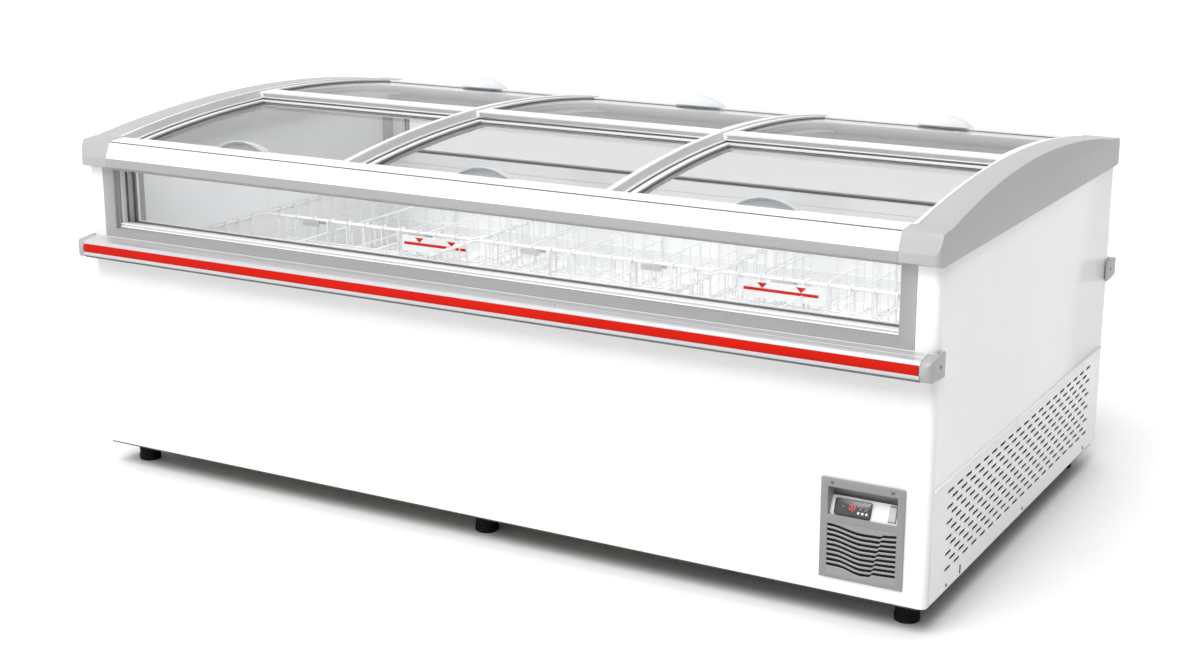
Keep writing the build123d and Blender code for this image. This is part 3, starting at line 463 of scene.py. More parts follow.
def top_frame():
    """The grey band, the white slope and strip, and a dark strip in the seam between them, painted shade of that
    groove.
    """
    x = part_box("top_profiles")[1].x
    band = [(-0.530, TOP_Z), (-0.546, 0.656), (-0.546, 0.673), (-0.5424, 0.673), (-0.5286, 0.7034), (-0.488, 0.7062),
            (-0.488, 0.672), (-0.468, 0.672), (-0.468, TOP_Z)]
    slope = [(-0.546, 0.6732), (-0.5317, 0.7046), (-0.5292, 0.7036), (-0.5424, 0.6732)]
    strip = [(-0.5300, 0.7061), (-0.488, 0.709), (-0.488, 0.7064), (-0.5285, 0.7038)]
    # The seam strip is painted shade: a dark fill where the groove lies in shadow.
    seam = [(-0.5319, 0.7049), (-0.5301, 0.7064), (-0.5284, 0.7036), (-0.5296, 0.7034)]
    for side, turn in (("front", list), ("rear", mirrored)):
        pieces = ((f"{side}_top_band", rounded(band, 0.0015), GREY_METAL, ("top_profiles",), "grey_aluminium"),
                  (f"{side}_top_slope", rounded(slope, 0.0012), WHITE_PLASTIC, ("top_trims",), "white_plastic"),
                  (f"{side}_top_strip", rounded(strip, 0.0012), WHITE_PLASTIC, (), "white_plastic"),
                  (f"{side}_top_seam_shade", seam, SEAL_AND_SHADE, (), None))
        for name, outline, material, stands_for, slot in pieces:
            obj = prism(name, turn(outline), -x, x)
            finish_piece(obj, "cabinet", material, stands_for)


def window_ring(points, outer_x, low_z, high_z, side):
    """A mitred frame from profile points (1 past the face's inner edge or 0 before it, step inward, y)."""
    jamb, sill, head = 0.029, 0.019, 0.003
    rings = []
    for sx, sz in ((-1, -1), (1, -1), (1, 1), (-1, 1)):
        ring = []
        for past, step, y in points:
            x = sx * (outer_x - past * jamb - step)
            z = low_z + past * sill + step * 0.5 if sz < 0 else high_z - past * head - step * 0.3
            ring.append((x, side * y, z))
        rings.append(ring)
    shape = Shape()
    shape.strip(rings, closed_run=True)
    return shape


def windows():
    """Stepped grey frame, white bead, gaskets and the inner glazing bar, front and rear; the front gasket is black,
    the rear gasket and spacer are painted lighter as painted light.
    """
    low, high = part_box("window_frames")
    x, z0, z1 = high.x, low.z, high.z
    front, back = -low.y, 0.4692
    frame_outline = [(0, 0, back), (0, 0, front - 0.001), (0, 0.001, front), (1, -0.0012, front),
                     (1, 0, front - 0.0012), (1, 0, front - 0.009), (1, 0.0022, front - 0.0096),
                     (1, 0.0022, front - 0.0165), (1, 0.0, front - 0.017), (1, 0.0, 0.4765), (1, 0.012, 0.476),
                     (1, 0.0125, 0.4735), (1, 0.0125, back)]
    bead = [(1, 0.0, 0.5105), (1, 0.0058, 0.5102), (1, 0.0065, 0.509), (1, 0.0065, 0.5005), (1, 0.0, 0.5)]
    gasket = [(1, 0.0, 0.5), (1, 0.0076, 0.5), (1, 0.0082, 0.4995), (1, 0.0082, 0.4991), (1, 0.0, 0.4991)]
    spacer = [(1, 0.0, 0.4948), (1, 0.008, 0.4948), (1, 0.008, 0.4812), (1, 0.0, 0.4812)]
    trim = [(0, 0.001, 0.4680), (1, 0.0131, 0.4680), (1, 0.0131, 0.4740), (1, 0.0127, 0.4740), (1, 0.0127, 0.4690),
            (0, 0.001, 0.4690)]
    for name, side in (("front", -1), ("rear", 1)):
        ring = window_ring(frame_outline, x, z0, z1, side).make(f"{name}_window_frame")
        finish_piece(ring, "cabinet", GREY_METAL, ("window_frames",))
        ring = window_ring(bead, x, z0, z1, side).make(f"{name}_window_bead")
        finish_piece(ring, "cabinet", BEAD_GREY, ("window_beads",))
        # The rear gasket and spacer get lighter colours than the front's: painted light that lifts the shade they lie
        # in.
        seal, bar = (SEAL_AND_SHADE, REVEAL) if name == "front" else (REVEAL, LINER)
        for what, outline, material in (("gasket", gasket, seal), ("spacer", spacer, bar), ("trim", trim, LINER)):
            ring = window_ring(outline, x, z0, z1, side).make(f"{name}_window_{what}")
            finish_piece(ring, "cabinet", material)
        foot = z0 + 0.0192
        core = ((0.5, 0), (0.5158, 0), (0.5152, 0.0076), (0.5, 0.0078))
        lower = ((0.5154, -0.0004), (0.5180, -0.0004), (0.5180, 0.0012), (0.5154, 0.0018))
        upper = ((0.5146, 0.0062), (0.5168, 0.0062), (0.5168, 0.0074), (0.5146, 0.0082))
        for what, outline, material in (("core", core, BEAD_GREY), ("lower_lip", lower, WHITE_PLASTIC),
                                        ("upper_lip", upper, WHITE_PLASTIC)):
            outline = rounded([(side * y, foot + dz) for y, dz in outline], 0.0004)
            obj = prism(f"{name}_sill_bead_{what}", outline, -x + 0.0295, x - 0.0295)
            finish_piece(obj, "cabinet", material, ())


def bumper_section(z, side):
    """The D of a bumper with a channel for its strip and a fine line near its top."""
    back, reach, height = -FRONT_Y + 0.0002, 0.573, 0.044
    top, bottom, middle = z + height, z, z + height / 2
    upper, lower = (reach - 0.009, top - 0.004), (reach - 0.009, bottom + 0.004)
    nose = arc_through(upper, (reach, middle), lower, 32)
    channel_top, channel_bottom = middle + 0.0115, middle - 0.0055
    above = [p for p in nose if p[1] > channel_top]
    below = [p for p in nose if p[1] < channel_bottom]
    outline = [(back, top), (back + 0.018, top - 0.0020), (back + 0.0188, top - 0.0034),
               (back + 0.0198, top - 0.0022)]
    outline += above + [(above[-1][0] + 0.0003, channel_top), (reach - 0.004, channel_top)]
    outline += [(reach - 0.004, channel_bottom), (below[0][0] + 0.0003, channel_bottom)] + below
    outline += [(back + 0.012, bottom + 0.0012), (back, bottom)]
    return [(side * y, z) for y, z in outline]


def bumpers():
    for name, side, z in (("front", -1, 0.461), ("rear", 1, 0.4055)):
        rail = prism(f"{name}_bumper_rail", bumper_section(z, side), -0.912, 0.912)
        finish_piece(rail, "cabinet", BUMPER_METAL, ("bumper_rails",), 25)
        middle = z + 0.025
        half = 0.0083
        face = arc_through((0.5712, middle + half), (0.5728, middle), (0.5716, middle - half), 10)
        outline = [(0.5692, middle + half)] + face + [(0.5692, middle - half)]
        strip = prism(f"{name}_bumper_strip", [(side * y, z) for y, z in outline], -0.9098, 0.9098)
        finish_piece(strip, "cabinet", RED_STRIP, ("bumper_inserts",), 30)
        lip = [(0.5400, z + 0.0006), (0.5560, z + 0.0022), (0.5650, z + 0.0038), (0.5690, z + 0.0072),
               (0.5682, z + 0.0078), (0.5640, z + 0.0052), (0.5550, z + 0.0040), (0.5400, z + 0.0020)]
        edge = prism(f"{name}_bumper_shadow_lip", [(side * y, v) for y, v in lip], -0.9115, 0.9115)
        finish_piece(edge, "cabinet", SEAL_AND_SHADE)
    caps = softened("bumper_end_caps", "bumper_ends", 0.004, 4, 30)
    finish_piece(caps, "cabinet", BUMPER_CAP, ("bumper_end_caps",), 40)
    shape = Shape()
    for sx in (-1, 1):
        for side, z in ((-1, 0.483), (1, 0.4275)):
            place = Matrix.Translation((sx * 0.932, side * 0.524, z)) @ Matrix.Rotation(sx * pi / 2, 4, "Y")
            screw_head(shape, place, 0.0032)
    finish_piece(shape.make("bumper_end_screws"), "cabinet", SCREW)


def screw_head(shape, place, radius):
    """A pan head with a round dip in its top, base at z 0."""
    dome = [(radius, 0), (radius, 0.0004), (radius * 0.85, 0.0010), (radius * 0.5, 0.0014), (radius * 0.42, 0.0014),
            (radius * 0.36, 0.0004), (0.00001, 0.0003)]
    lathe(shape, dome, place, 20)


def panel_screws():
    """Heads where the CAD screws stand."""
    shape = Shape()
    for x in (0.752, 0.862):
        screw_head(shape, Matrix.Translation((x, FRONT_Y - 0.004, 0.255)) @ Matrix.Rotation(pi / 2, 4, "X"), 0.0034)
    for sx in (-1, 1):
        for y in (-0.423, 0.007, 0.423):
            place = Matrix.Translation((sx * 0.925, y, 0.061)) @ Matrix.Rotation(sx * pi / 2, 4, "Y")
            screw_head(shape, place, 0.0036)
    finish_piece(shape.make("panel_screw_heads"), "cabinet", SCREW, ("panel_screws",))


def feet():
    """Black feet: ribbed pad, waist and collar."""
    outline = [(0.0, 0.0), (0.0213, 0.0), (0.0226, 0.0010), (0.0230, 0.003), (0.0230, 0.0115), (0.0222, 0.0128),
               (0.0212, 0.0132), (0.0207, 0.0145), (0.0204, 0.0170), (0.0204, 0.0370), (0.0209, 0.0390),
               (0.0222, 0.0402), (0.0225, 0.0415), (0.0225, 0.0485), (0.0220, 0.0495), (0.0, 0.0495)]
    outline = [(max(r, 0.00002), z) for r, z in outline]
    shape = Shape()
    for x in (-0.87, 0.0, 0.87):
        for y in (-0.46, 0.46):
            place = Matrix.Translation((x, y, 0))
            lathe(shape, outline, place, 48)
            for k in range(24):
                turn = place @ Matrix.Rotation(2 * pi * k / 24, 4, "Z")
                shape.block((0.0200, -0.0008, 0.0175), (0.0214, 0.0008, 0.0365), turn)
    finish_piece(shape.make("black_feet"), "cabinet", BLACK_RUBBER, ("levelling_feet",))


def side_shade_sheets():
    """Black sheets behind the slots of both ends, painted shade for the dark space behind them, and the painted
    shadow gap under the side sheets.
    """
    shape = Shape()
    for sx in (-1, 1):
        low, high = sorted((sx * 0.9230, sx * 0.9236))
        shape.block((low, -0.478, 0.0815), (high, 0.478, 0.2540))
        low, high = sorted((sx * 0.9236, sx * 0.9239))
        shape.block((low, -0.357, 0.0540), (high, -0.342, 0.0760))
        low, high = sorted((sx * 0.9235, sx * 0.9246))
        shape.block((low, -0.507, 0.2570), (high, 0.507, 0.2590))
    finish_piece(shape.make("side_shade_sheets"), "cabinet", SHADE_BLACK)


def corner_reveals():
    """Grey uprights that line the tank's ends beside each window."""
    shape = Shape()
    for sx in (-1, 1):
        for sy in (-1, 1):
            (x0, x1), (y0, y1) = sorted((sx * 0.8680, sx * 0.8696)), sorted((sy * 0.428, sy * 0.4676))
            outline = rounded([(x0, y0), (x1, y0), (x1, y1), (x0, y1)], 0.0006)
            shape.strip([[(x, y, z) for x, y in outline] for z in (0.5065, 0.6475)])
    finish_piece(shape.make("tank_corner_uprights"), "cabinet", REVEAL)


def wall_joints():
    """The joint strip halfway along each end wall of the tank and the coves in its corners."""
    shape = Shape()
    for sx in (-1, 1):
        low, high = sorted((sx * 0.8694, sx * 0.87))
        shape.block((low, -0.024, 0.301), (high, -0.012, 0.6475))
        for sy in (-1, 1):
            cove = [Vector((sx * 0.87, sy * 0.468, 0))]
            cove += [Vector((sx * (0.87 - 0.012 + 0.012 * cos(a)), sy * (0.468 - 0.012 + 0.012 * sin(a)), 0)) for a in
                     [pi / 2 * k / 6 for k in range(7)]]
            top = 0.5055
            shape.strip([[v + Vector((0, 0, z)) for v in cove] for z in (0.301, top)])
    finish_piece(shape.make("tank_wall_joints"), "cabinet", LINER)


# ---- lids -----------------------------------------------------------------------------------
def lid_rails():
    rails = softened("lid_rails", "arched_lid_rails", 0.0008, 2, 30)
    finish_piece(rails, "cabinet", RAIL, ("lid_rails",))


def rail_liners():
    """Dark brush strips under the upper ledges, and a white lining on the inner face of both end rails."""
    lining = Shape()
    for sx in (-1, 1):
        x0, x1 = sorted((sx * 0.8693, sx * 0.8699))
        rings = []
        for k in range(25):
            top = arch_point(0, 3.0125, -8.7 + 17.4 * k / 24)
            rings.append([(x0, top.y, 0.6495), (x1, top.y, 0.6495), (x1, top.y, top.z), (x0, top.y, top.z)])
        lining.strip(rings)
    finish_piece(lining.make("end_rail_linings"), "cabinet", LINER)
    shape = Shape()
    for x in (-0.29, 0.29, -0.87, 0.87):
        for side in (-1, 1):
            if abs(x) > 0.8 and side * x > 0:
                continue
            inner, outer = x + side * 0.0062, x + side * 0.0126
            rings = []
            for k in range(25):
                a = -9.0 + 18.0 * k / 24
                rings.append([arch_point(x1, r, a) for x1, r in ((inner, 3.0285), (outer, 3.0285), (outer, 3.0305),
                                                                 (inner, 3.0305))])
            shape.strip(rings)
    finish_piece(shape.make("rail_brush_strips"), "cabinet", SEAL_AND_SHADE)


def lid_frame(row, bay):
    node = f"{row}_lid_{bay}_frame"
    obj = softened(node, f"{row}_lid_{bay}_surround", 0.0016, 3, 30)
    finish_piece(obj, f"{row}_lid_{bay}", LID_WHITE, (node,))


def lid_gasket(row, bay):
    """A thin dark line round the glass, on top of it, and the seal under the rear lid's front bar."""
    low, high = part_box(f"{row}_lid_{bay}_glass")
    centre = BAYS[bay]
    glass_r = 3.026 if row == "front" else 3.043
    glass_r -= 0.0001 if row == "front" else 0.0008
    half = (high.x - low.x) / 2 - 0.005
    ends = (-9.12 + 0.832, -0.189 - 0.832) if row == "front" else (-0.846 + 0.8274, 9.12 - 0.8274)
    wide = 0.0024
    wide_angle = wide / glass_r * 180 / pi
    shape = Shape()
    steps = 24
    for side in (-1, 1):
        rings = []
        for k in range(steps + 1):
            a = ends[0] + (ends[1] - ends[0]) * k / steps
            x0, x1 = centre + side * (half - wide), centre + side * (half + 0.0005)
            rings.append([arch_point(x0, glass_r, a), arch_point(x1, glass_r, a), arch_point(x1, glass_r + 0.0012, a),
                          arch_point(x0, glass_r + 0.0006, a)])
        shape.strip(rings)
    for a0, a1 in ((ends[0] - 0.01, ends[0] + wide_angle), (ends[1] - wide_angle, ends[1] + 0.01)):
        ring = [[arch_point(x, glass_r, a0), arch_point(x, glass_r, a1), arch_point(x, glass_r + 0.0008, a1),
                 arch_point(x, glass_r + 0.0010, a0)] for x in (centre - half, centre + half)]
        shape.strip(ring)
    if row == "rear":
        a0, a1 = -0.846 - 0.008, -0.846 + 0.11
        ring = [[arch_point(x, 3.0312, a0 + 0.03), arch_point(x, 3.0312, a1), arch_point(x, 3.0346, a1),
                 arch_point(x, 3.0346, a0 + 0.02)] for x in (centre - 0.268, centre + 0.268)]
        shape.strip(ring)
    finish_piece(shape.make(f"{row}_lid_{bay}_gasket"), f"{row}_lid_{bay}", SEAL_AND_SHADE)


def bar_face_shade(bay):
    """A grey strip on the upright front face of a rear lid's front bar: painted shade of that face."""
    shape = Shape()
    a0, a1 = -0.846 - 0.008, -0.846 + 0.03
    section = ((3.0372, a0), (3.0442, a0), (3.0442, a1), (3.0372, a1))
    shape.strip([[arch_point(BAYS[bay] + x, r, a) for r, a in section] for x in (-0.272, 0.272)])
    finish_piece(shape.make(f"rear_lid_{bay}_bar_face_shade"), f"rear_lid_{bay}", REVEAL)


def pull_shell(place):
    """The cup of a pull: a slice of a sphere, open towards -Y, with a beaded rim and a thin floor."""
    plan, rise, middle, half_depth = 0.068, 0.026, -0.0455, 0.0225
    ball = (plan**2 + rise**2) / (2 * rise)
    rows, columns, wall = 20, 36, 0.0022
    shape = Shape()

    def skin(radius, floor):
        rings = []
        for i in range(rows + 1):
            y = -half_depth + 2 * half_depth * (i / rows) * 0.9995
            reach = sqrt(max(radius**2 - (ball - rise + floor) ** 2 - (y - middle) ** 2, 1e-9))
            ring = []
            for k in range(columns + 1):
                x = reach * -cos(pi * k / columns)
                z = sqrt(max(radius**2 - x**2 - (y - middle) ** 2, 0)) - (ball - rise)
                ring.append(place @ Vector((x, y, max(z, floor))))
            rings.append(ring)
        return rings

    outer, inner = skin(ball, 0.0), skin(ball - wall, 0.0016)
    shape.strip(outer, closed_ring=False)
    shape.strip(inner, closed_ring=False)
    shape.strip([outer[0], inner[0]], closed_ring=False)
    base, floor = [], []
    for rings, line in ((outer, base), (inner, floor)):
        line += [ring[0] for ring in rings] + [ring[-1] for ring in reversed(rings)]
    shape.add(base, [list(range(len(base)))])
    shape.add(floor, [list(range(len(floor)))])
    shape.add([outer[0][0], outer[0][-1], inner[0][-1], inner[0][0]], [[0, 1, 2, 3]])
    rim = [(o + i) / 2 for o, i in zip(outer[0], inner[0])]
    shape.wire(rim, 0.0015, 10)
    return shape


def lid_handle(row, bay):
    base = 3.0303 if row == "front" else 3.0473
    middle = -0.430 if row == "front" else 0.430
    place = arch_place(BAYS[bay], base, asin(middle / base) * 180 / pi)
    if row == "rear":
        place = place @ Matrix.Rotation(pi, 4, "Z")
    obj = pull_shell(place).make(f"{row}_lid_{bay}_cup_pull")
    finish_piece(obj, f"{row}_lid_{bay}", PULL, (f"{row}_lid_{bay}_handle",), 50)


# ---- baskets --------------------------------------------------------------------------------
def bend(points, radius, steps=4):
    """The points of a wire with its corners turned round."""
    result = [Vector(points[0])]
    for before, corner, after in zip(points, points[1:], points[2:]):
        p = Vector(corner)
        a, b = Vector(before) - p, Vector(after) - p
        reach = min(radius, a.length * 0.45, b.length * 0.45)
        start, end = p + a.normalized() * reach, p + b.normalized() * reach
        for k in range(steps + 1):
            t = k / steps
            result.append(start * (1 - t) ** 2 + p * 2 * t * (1 - t) + end * t**2)
    return result + [Vector(points[-1])]


def basket(row, bay):
    """A thick top rail with a hook of every wire over it, U-bent wires both ways, dividers and grips."""
    low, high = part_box(f"{row}_basket_{bay}")
    x0, x1, y0, y1, z0, z1 = low.x, high.x, low.y, high.y, low.z, high.z
    thick, thin, fine = 0.0021, 0.0017, 0.0015
    shape = Shape()
    side = 0.0056
    for z, inset, radius in ((z1 - thick, thick, thick), (z0 + 0.112, side, thin), (z0 + 0.062, side, thin)):
        corners = [(x0 + inset, y0 + inset, z), (x1 - inset, y0 + inset, z), (x1 - inset, y1 - inset, z),
                   (x0 + inset, y1 - inset, z)]
        start = ((x0 + x1) / 2, y0 + inset, z)
        shape.wire(bend([start] + corners[1:] + corners[:1] + [start], 0.014), radius)
    columns, rows = round((x1 - x0) / 0.048), round((y1 - y0) / 0.048)
    bottom, crest, skin = z0 + 0.003, z1 + 0.0030, 0.0070
    for k in range(1, columns):
        x = x0 + (x1 - x0) * k / columns
        path = [(x, y0 + 0.0008, z1 - 0.009), (x, y0 + 0.0008, crest), (x, y0 + skin, crest), (x, y0 + skin, bottom),
                (x, y1 - skin, bottom), (x, y1 - skin, crest), (x, y1 - 0.0008, crest), (x, y1 - 0.0008, z1 - 0.009)]
        shape.wire(bend(path, 0.010), fine, 6)
    for k in range(1, rows):
        y, lift = y0 + (y1 - y0) * k / rows, bottom + 0.003
        path = [(x0 + 0.0008, y, z1 - 0.009), (x0 + 0.0008, y, crest), (x0 + skin, y, crest), (x0 + skin, y, lift),
                (x1 - skin, y, lift), (x1 - skin, y, crest), (x1 - 0.0008, y, crest), (x1 - 0.0008, y, z1 - 0.009)]
        shape.wire(bend(path, 0.010), fine, 6)
    for offset in (-0.097, 0.097):
        divider(shape, (x0 + x1) / 2 + offset, y0, y1, bottom + 0.006, z1)
    obj = shape.make(f"{row}_basket_{bay}_wires")
    finish_piece(obj, f"{row}_basket_{bay}", WIRE, (f"{row}_basket_{bay}",), 60)
    basket_grips(row, bay, low, high)


def divider(shape, x, y0, y1, bottom, top):
    """A wire divider: a hoop hooked over both long rails, two cross wires and its uprights."""
    crest, inner = top + 0.0016, 0.0118
    hoop = [(x, y0 + 0.0004, top - 0.012), (x, y0 + 0.0004, crest), (x, y0 + inner, crest), (x, y0 + inner, bottom),
            (x, y1 - inner, bottom), (x, y1 - inner, crest), (x, y1 - 0.0004, crest), (x, y1 - 0.0004, top - 0.012)]
    shape.wire(bend(hoop, 0.005), 0.0019)
    for z in (top - 0.026, (bottom + top) / 2):
        shape.wire([(x, y0 + inner, z), (x, y1 - inner, z)], 0.0017)
    count = round((y1 - y0 - 2 * inner) / 0.048)
    for k in range(1, count):
        y = y0 + inner + (y1 - y0 - 2 * inner) * k / count
        shape.wire([(x + 0.0031, y, bottom), (x + 0.0031, y, top - 0.025)], 0.0014, 6)


def basket_grips(row, bay, low, high):
    """Grey plastic grips clipped on the rail of each long side."""
    shape = Shape()
    for offset in (-0.145, 0.145):
        x = (low.x + high.x) / 2 + offset
        for y in (low.y + 0.0105, high.y - 0.0105):
            outline = rounded([(x - 0.023, high.z - 0.015), (x + 0.023, high.z - 0.015), (x + 0.023, high.z - 0.003),
                               (x - 0.023, high.z - 0.003)], 0.003)
            shape.strip([[(px, y + dy, pz) for px, pz in outline] for dy in (-0.0012, 0.0012)])
    finish_piece(shape.make(f"{row}_basket_{bay}_grips"), f"{row}_basket_{bay}", GRIP)


def load_line(bay, centre):
    """A clip-on card on a front basket's rear wires: a line with two marks, and no lettering."""
    back = -0.0600
    card = Shape()
    outline = rounded([(centre - 0.086, 0.4285), (centre + 0.086, 0.4285), (centre + 0.086, 0.4635),
                       (centre - 0.086, 0.4635)], 0.004)
    card.strip([[(x, y, z) for x, z in outline] for y in (back, back - 0.0008)])
    finish_piece(card.make(f"load_card_{bay}"), f"front_basket_{bay}", LABEL_WHITE)
    mark = Shape()
    line = [(centre - 0.0805, 0.443), (centre + 0.0805, 0.443), (centre + 0.0805, 0.449), (centre - 0.0805, 0.449)]
    outlines = [line]
    for share in (0.25, 0.77):
        x = centre - 0.0805 + 0.161 * share
        outlines.append([(x - 0.011, 0.460), (x, 0.4492), (x + 0.011, 0.460)])
    for outline in outlines:
        mark.strip([[(x, y, z) for x, z in outline] for y in (back - 0.0009, back - 0.0012)])
    finish_piece(mark.make(f"load_mark_{bay}"), f"front_basket_{bay}", LABEL_RED)


# ---- control panel --------------------------------------------------------------------------
def sag(share, row):
    """How far a louvre dips at a share of its length, from the top row (0) to the bottom row (1)."""

    def rise(v, start, end):
        v = min(max((v - start) / (end - start), 0.0), 1.0)
        return v * v * (3 - 2 * v)

    kink = 0.77 - 0.15 * row
    left = 0.45 - 0.2 * row
    fall = rise(share, 0.03 + 0.14 * row, 0.50)
    if share < kink:
        return 0.0086 * fall * (1 - 0.12 * rise(share, 0.5, kink))
    step = 0.88 - (0.88 - left) * rise(share, kink, kink + 0.05)
    return 0.0086 * step * (1 - rise(share, kink + 0.03, 1.1))


def control_bezel():
    """The moulding: face with two windows, recess walls, and ten louvre bars in the lower window."""
    low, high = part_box("control_bezel")
    face_y, back_y = low.y, -0.5285
    xs = [low.x, 0.7445, 0.8705, high.x]
    zs = [low.z, 0.0885, 0.1835, 0.196, 0.246, high.z]
    face = Shape()
    holes = {(1, 1), (1, 3)}
    for i in range(3):
        for j in range(5):
            if (i, j) in holes:
                continue
            corners = [(xs[i], zs[j]), (xs[i + 1], zs[j]), (xs[i + 1], zs[j + 1]), (xs[i], zs[j + 1])]
            face.add([(x, back_y, z) for x, z in corners], [[0, 1, 2, 3]])
    obj = face.make("control_panel_moulding")
    solid = obj.modifiers.new("depth", "SOLIDIFY")
    solid.thickness, solid.offset = abs(face_y - back_y), 1.0
    settle(obj)
    if min(v.co.y for v in obj.data.vertices) > face_y + 0.001:
        for v in obj.data.vertices:
            v.co.y = 2 * back_y - v.co.y
        obj.data.flip_normals()
    bevel(obj, 0.0013, 3, 40)
    finish_piece(obj, "cabinet", PANEL_PLASTIC, ("control_bezel",))
    recess = Shape()
    x0, x1, z0, z1, deep = 0.744, 0.870, 0.190, 0.248, -0.4945
    front = -0.5288
    recess.block((x0 - 0.002, front, z0 - 0.001), (x0 + 0.0003, deep, z1 + 0.001))
    recess.block((x1 - 0.0003, front, z0 - 0.001), (x1 + 0.002, deep, z1 + 0.001))
    recess.block((x0, front, z1 - 0.0015), (x1, deep, z1 + 0.001))
    recess.block((x0, front, z0 - 0.001), (x1, front + 0.012, z0 + 0.0005))
    recess.block((x0 - 0.002, deep - 0.0015, 0.214), (x1 + 0.002, deep + 0.0005, z1))
    finish_piece(recess.make("control_recess_walls"), "cabinet", PANEL_PLASTIC)
    louvres(xs[1], xs[2], zs[1], zs[2], face_y)


def louvres(x0, x1, z0, z1, face_y):
    """Ten bars with nine slots between them; each bar dips in its middle part."""
    pitch, slot, first, steps = 0.0091, 0.0050, 0.104, 60
    shape = Shape()
    for bar in range(10):
        rings = []
        for k in range(steps + 1):
            share = k / steps
            x = x0 - 0.0008 + (x1 - x0 + 0.0016) * share
            drop = sag(share, 1 - bar / 9)
            middle = first + pitch * (bar - 0.5)
            bottom = middle - (pitch - slot) / 2 - drop if bar else z0 - 0.001
            top = middle + (pitch - slot) / 2 - drop if bar < 9 else z1 + 0.001
            rings.append([(x, face_y + 0.0016, bottom), (x, face_y + 0.0007, bottom + 0.0009),
                          (x, face_y + 0.0007, top - 0.0011), (x, face_y + 0.0017, top),
                          (x, face_y + 0.0032, top - 0.0004), (x, face_y + 0.0032, bottom)])
        shape.strip(rings)
    finish_piece(shape.make("control_panel_louvres"), "cabinet", PANEL_PLASTIC, angle=40)
    # A black sheet behind the grille's slots: painted shade for the dark space behind them.
    dark = Shape()
    dark.block((x0 - 0.002, -0.5278, z0 - 0.003), (x1 + 0.002, -0.5272, z1 + 0.003))
    finish_piece(dark.make("grille_shade_sheet"), "cabinet", SHADE_BLACK)


def plate_place():
    """The leaning plate's place at the thermostat: X along it, Y up its slope, Z out of it."""
    press = next(j for j in frame["joints"] if j["name"] == "button_1_press")
    out = -Vector(press["axis"]).normalized()
    along = Vector((1, 0, 0))
    up = out.cross(along)
    keys = [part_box(f"thermostat_button_{n}") for n in (1, 2, 3)]
    key = (keys[1][0] + keys[1][1]) / 2
    turn = Matrix((along, up, out)).transposed().to_4x4()
    origin = key - along * 0.0195 + up * 0.0065 - out * 0.0053
    return Matrix.Translation(origin) @ turn


def rounded_plate(shape, place, half_x, half_y, corner, levels):
    """A stack of rounded rectangles: levels are (height, shrink) from bottom to top."""
    rings = []
    for height, shrink in levels:
        hx, hy, r = half_x - shrink, half_y - shrink, max(corner - shrink, 0.0005)
        ring = []
        corners = ((hx - r, hy - r, 0), (-hx + r, hy - r, 90), (-hx + r, -hy + r, 180), (hx - r, -hy + r, 270))
        for cx, cy, start in corners:
            ring += [place @ Vector((x, y, height)) for x, y in arc((cx, cy), r, start, start + 90, 6)]
        rings.append(ring)
    shape.strip(rings)


SEGMENTS = {"a": (0, 1, 1), "b": (1, 0.5, 0), "c": (1, -0.5, 0), "d": (0, -1, 1), "e": (-1, -0.5, 0),
            "f": (-1, 0.5, 0), "g": (0, 0, 1)}
LIT = {"-": "g", "1": "bc", "8": "abcdefg"}


def thermostat():
    """Rounded case with a smoked face, a reading of -18, lamps and three keys."""
    place = plate_place()
    case = Shape()
    rounded_plate(case, place, 0.0335, 0.0145, 0.004,
                  [(0.001, 0.0), (0.0048, 0.0), (0.0056, 0.0005), (0.006, 0.0014)])
    case.block((-0.0300, -0.0112, -0.027), (0.0300, 0.0112, 0.001), place)
    finish_piece(case.make("thermostat_case"), "cabinet", THERMOSTAT, ("thermostat",))
    lens = Shape()
    rounded_plate(lens, place, 0.0305, 0.0118, 0.0035, [(0.0058, 0.0), (0.0063, 0.0001), (0.0066, 0.0009)])
    finish_piece(lens.make("thermostat_smoked_face"), "cabinet", THERMOSTAT)
    digits = Shape()
    tall, wide, bar = 0.0050, 0.0029, 0.0006
    for slot, sign in enumerate("-18"):
        cx = -0.0170 + slot * 0.0092
        for segment in LIT[sign]:
            sx, sy, flat = SEGMENTS[segment]
            x, y = cx + sx * wide + sy * tall * 0.12, 0.0012 + sy * tall
            half = (wide * 0.72, bar) if flat else (bar, tall * 0.38)
            digits.block((x - half[0], y - half[1], 0.0064), (x + half[0], y + half[1], 0.0068), place)
    finish_piece(digits.make("thermostat_reading"), "cabinet", DIGITS)
    lamps = Shape()
    for x, y in ((0.0105, 0.0062), (0.0155, 0.0058), (0.0235, -0.0002), (0.0262, 0.0022), (0.0150, 0.0008)):
        lathe(lamps, [(0.0009, 0.0064), (0.0009, 0.0067), (0.0005, 0.0069), (0.00001, 0.0069)],
              place @ Matrix.Translation((x, y, 0)), 14)
    finish_piece(lamps.make("thermostat_lamps"), "cabinet", LAMPS)
    for number, x in enumerate((0.012, 0.0195, 0.027), 1):
        key = Shape()
        lathe(key, [(0.00001, 0.0032), (0.0024, 0.0032), (0.0024, 0.0070), (0.0022, 0.0075), (0.0017, 0.0078),
                    (0.0012, 0.0077), (0.00001, 0.0075)], place @ Matrix.Translation((x, -0.0065, 0)), 24)
        obj = key.make(f"thermostat_key_{number}")
        finish_piece(obj, f"button_{number}", BUTTON, (f"thermostat_button_{number}",))


def rocker():
    obj = softened("power_rocker", "power_rocker_cap", 0.0012, 3, 30)
    finish_piece(obj, "rocker", SWITCH, ("power_rocker",))


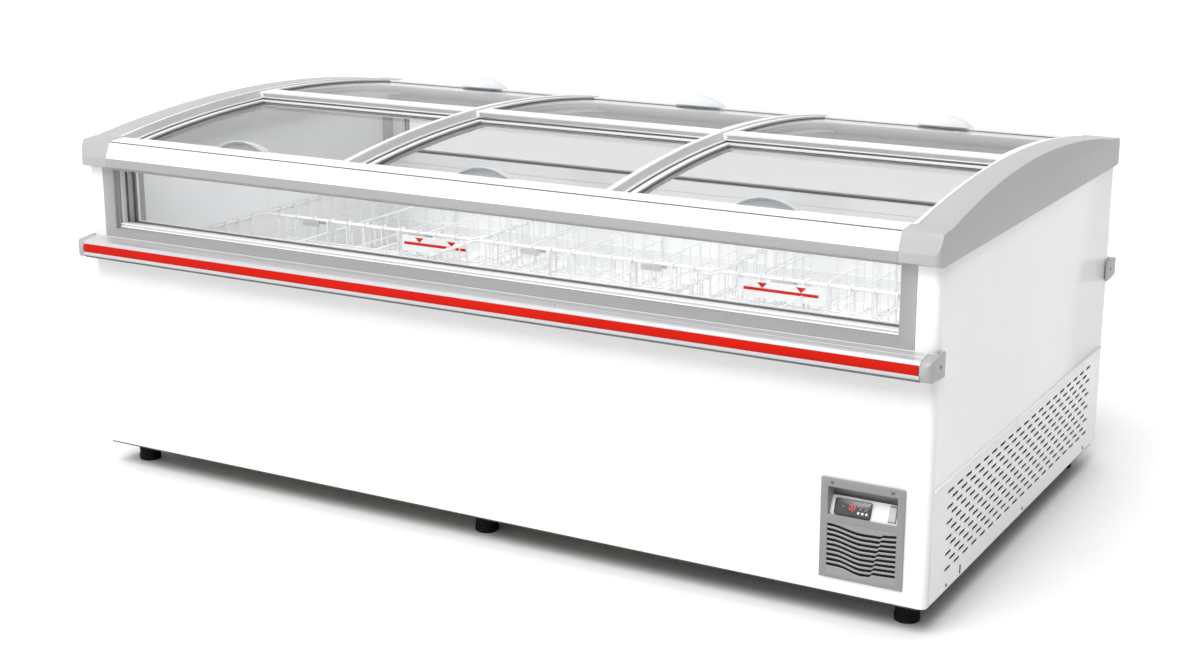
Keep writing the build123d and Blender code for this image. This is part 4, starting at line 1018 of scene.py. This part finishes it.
# ---- stage ----------------------------------------------------------------------------------
def stage():
    """Pale floor, even white surroundings and one broad soft light from the upper front."""
    mat = finish("pale floor", (0.84, 0.84, 0.84), 0.8, grain=60, depth=0.01, mottle=0.01)
    shape = Shape()
    shape.add([(-40, -40, 0), (40, -40, 0), (40, 40, 0), (-40, 40, 0)], [[0, 1, 2, 3]])
    floor = shape.make("floor")
    floor.data.materials.append(mat)
    world = bpy.data.worlds.new("surroundings")
    bpy.context.scene.world = world
    world.use_nodes = True
    nodes, links = world.node_tree.nodes, world.node_tree.links
    where = nodes.new("ShaderNodeTexCoord")
    parts = nodes.new("ShaderNodeSeparateXYZ")
    links.new(where.outputs["Generated"], parts.inputs["Vector"])
    tone = ramp(nodes, links, parts.outputs["X"], (1, 1, 1), (0.2, 0.2, 0.205), 0.15, 0.75)
    links.new(tone, nodes["Background"].inputs["Color"])
    nodes["Background"].inputs["Strength"].default_value = 1.0
    light = bpy.data.lights.new("key", "SUN")
    light.energy, light.angle = 2.3, radians(40)
    sun = link(bpy.data.objects.new("key", light))
    sun.rotation_euler = Vector((0.0, 0.53, -0.85)).to_track_quat("-Z", "Y").to_euler()
    fill = bpy.data.lights.new("tank fill", "AREA")
    fill.shape, fill.size, fill.size_y, fill.energy = "RECTANGLE", 1.68, 0.86, 3.2
    inside = link(bpy.data.objects.new("tank fill", fill))
    inside.location = (0, 0, 0.668)
    inside.visible_camera = False


def camera():
    """The photograph's viewpoint, a little above the lids from the front right."""
    view = Vector((-0.4738, 0.8408, -0.2618)).normalized()
    right = Vector((0.8712, 0.4909, 0.0)).normalized()
    up = right.cross(view)
    data = bpy.data.cameras.new("camera")
    data.sensor_width, data.lens = 36.0, 57.66
    data.shift_x, data.shift_y = -0.0091, -0.0103
    data.clip_end = 100
    obj = link(bpy.data.objects.new("camera", data))
    turn = Matrix((right, up, -view)).transposed().to_4x4()
    obj.matrix_world = Matrix.Translation((1.92149, -3.39566, 1.36922)) @ turn
    bpy.context.scene.camera = obj
    bpy.context.scene.view_settings.view_transform = "Standard"


paint_carried_nodes()
sheets()
end_caps()
top_frame()
windows()
bumpers()
panel_screws()
feet()
side_shade_sheets()
corner_reveals()
wall_joints()
lid_rails()
rail_liners()
for bay_name in BAYS:
    for row_name in ("front", "rear"):
        lid_frame(row_name, bay_name)
        lid_gasket(row_name, bay_name)
        lid_handle(row_name, bay_name)
        basket(row_name, bay_name)
    bar_face_shade(bay_name)
load_line("left", -0.384)
load_line("right", 0.437)
control_bezel()
thermostat()
rocker()
stage()
camera()
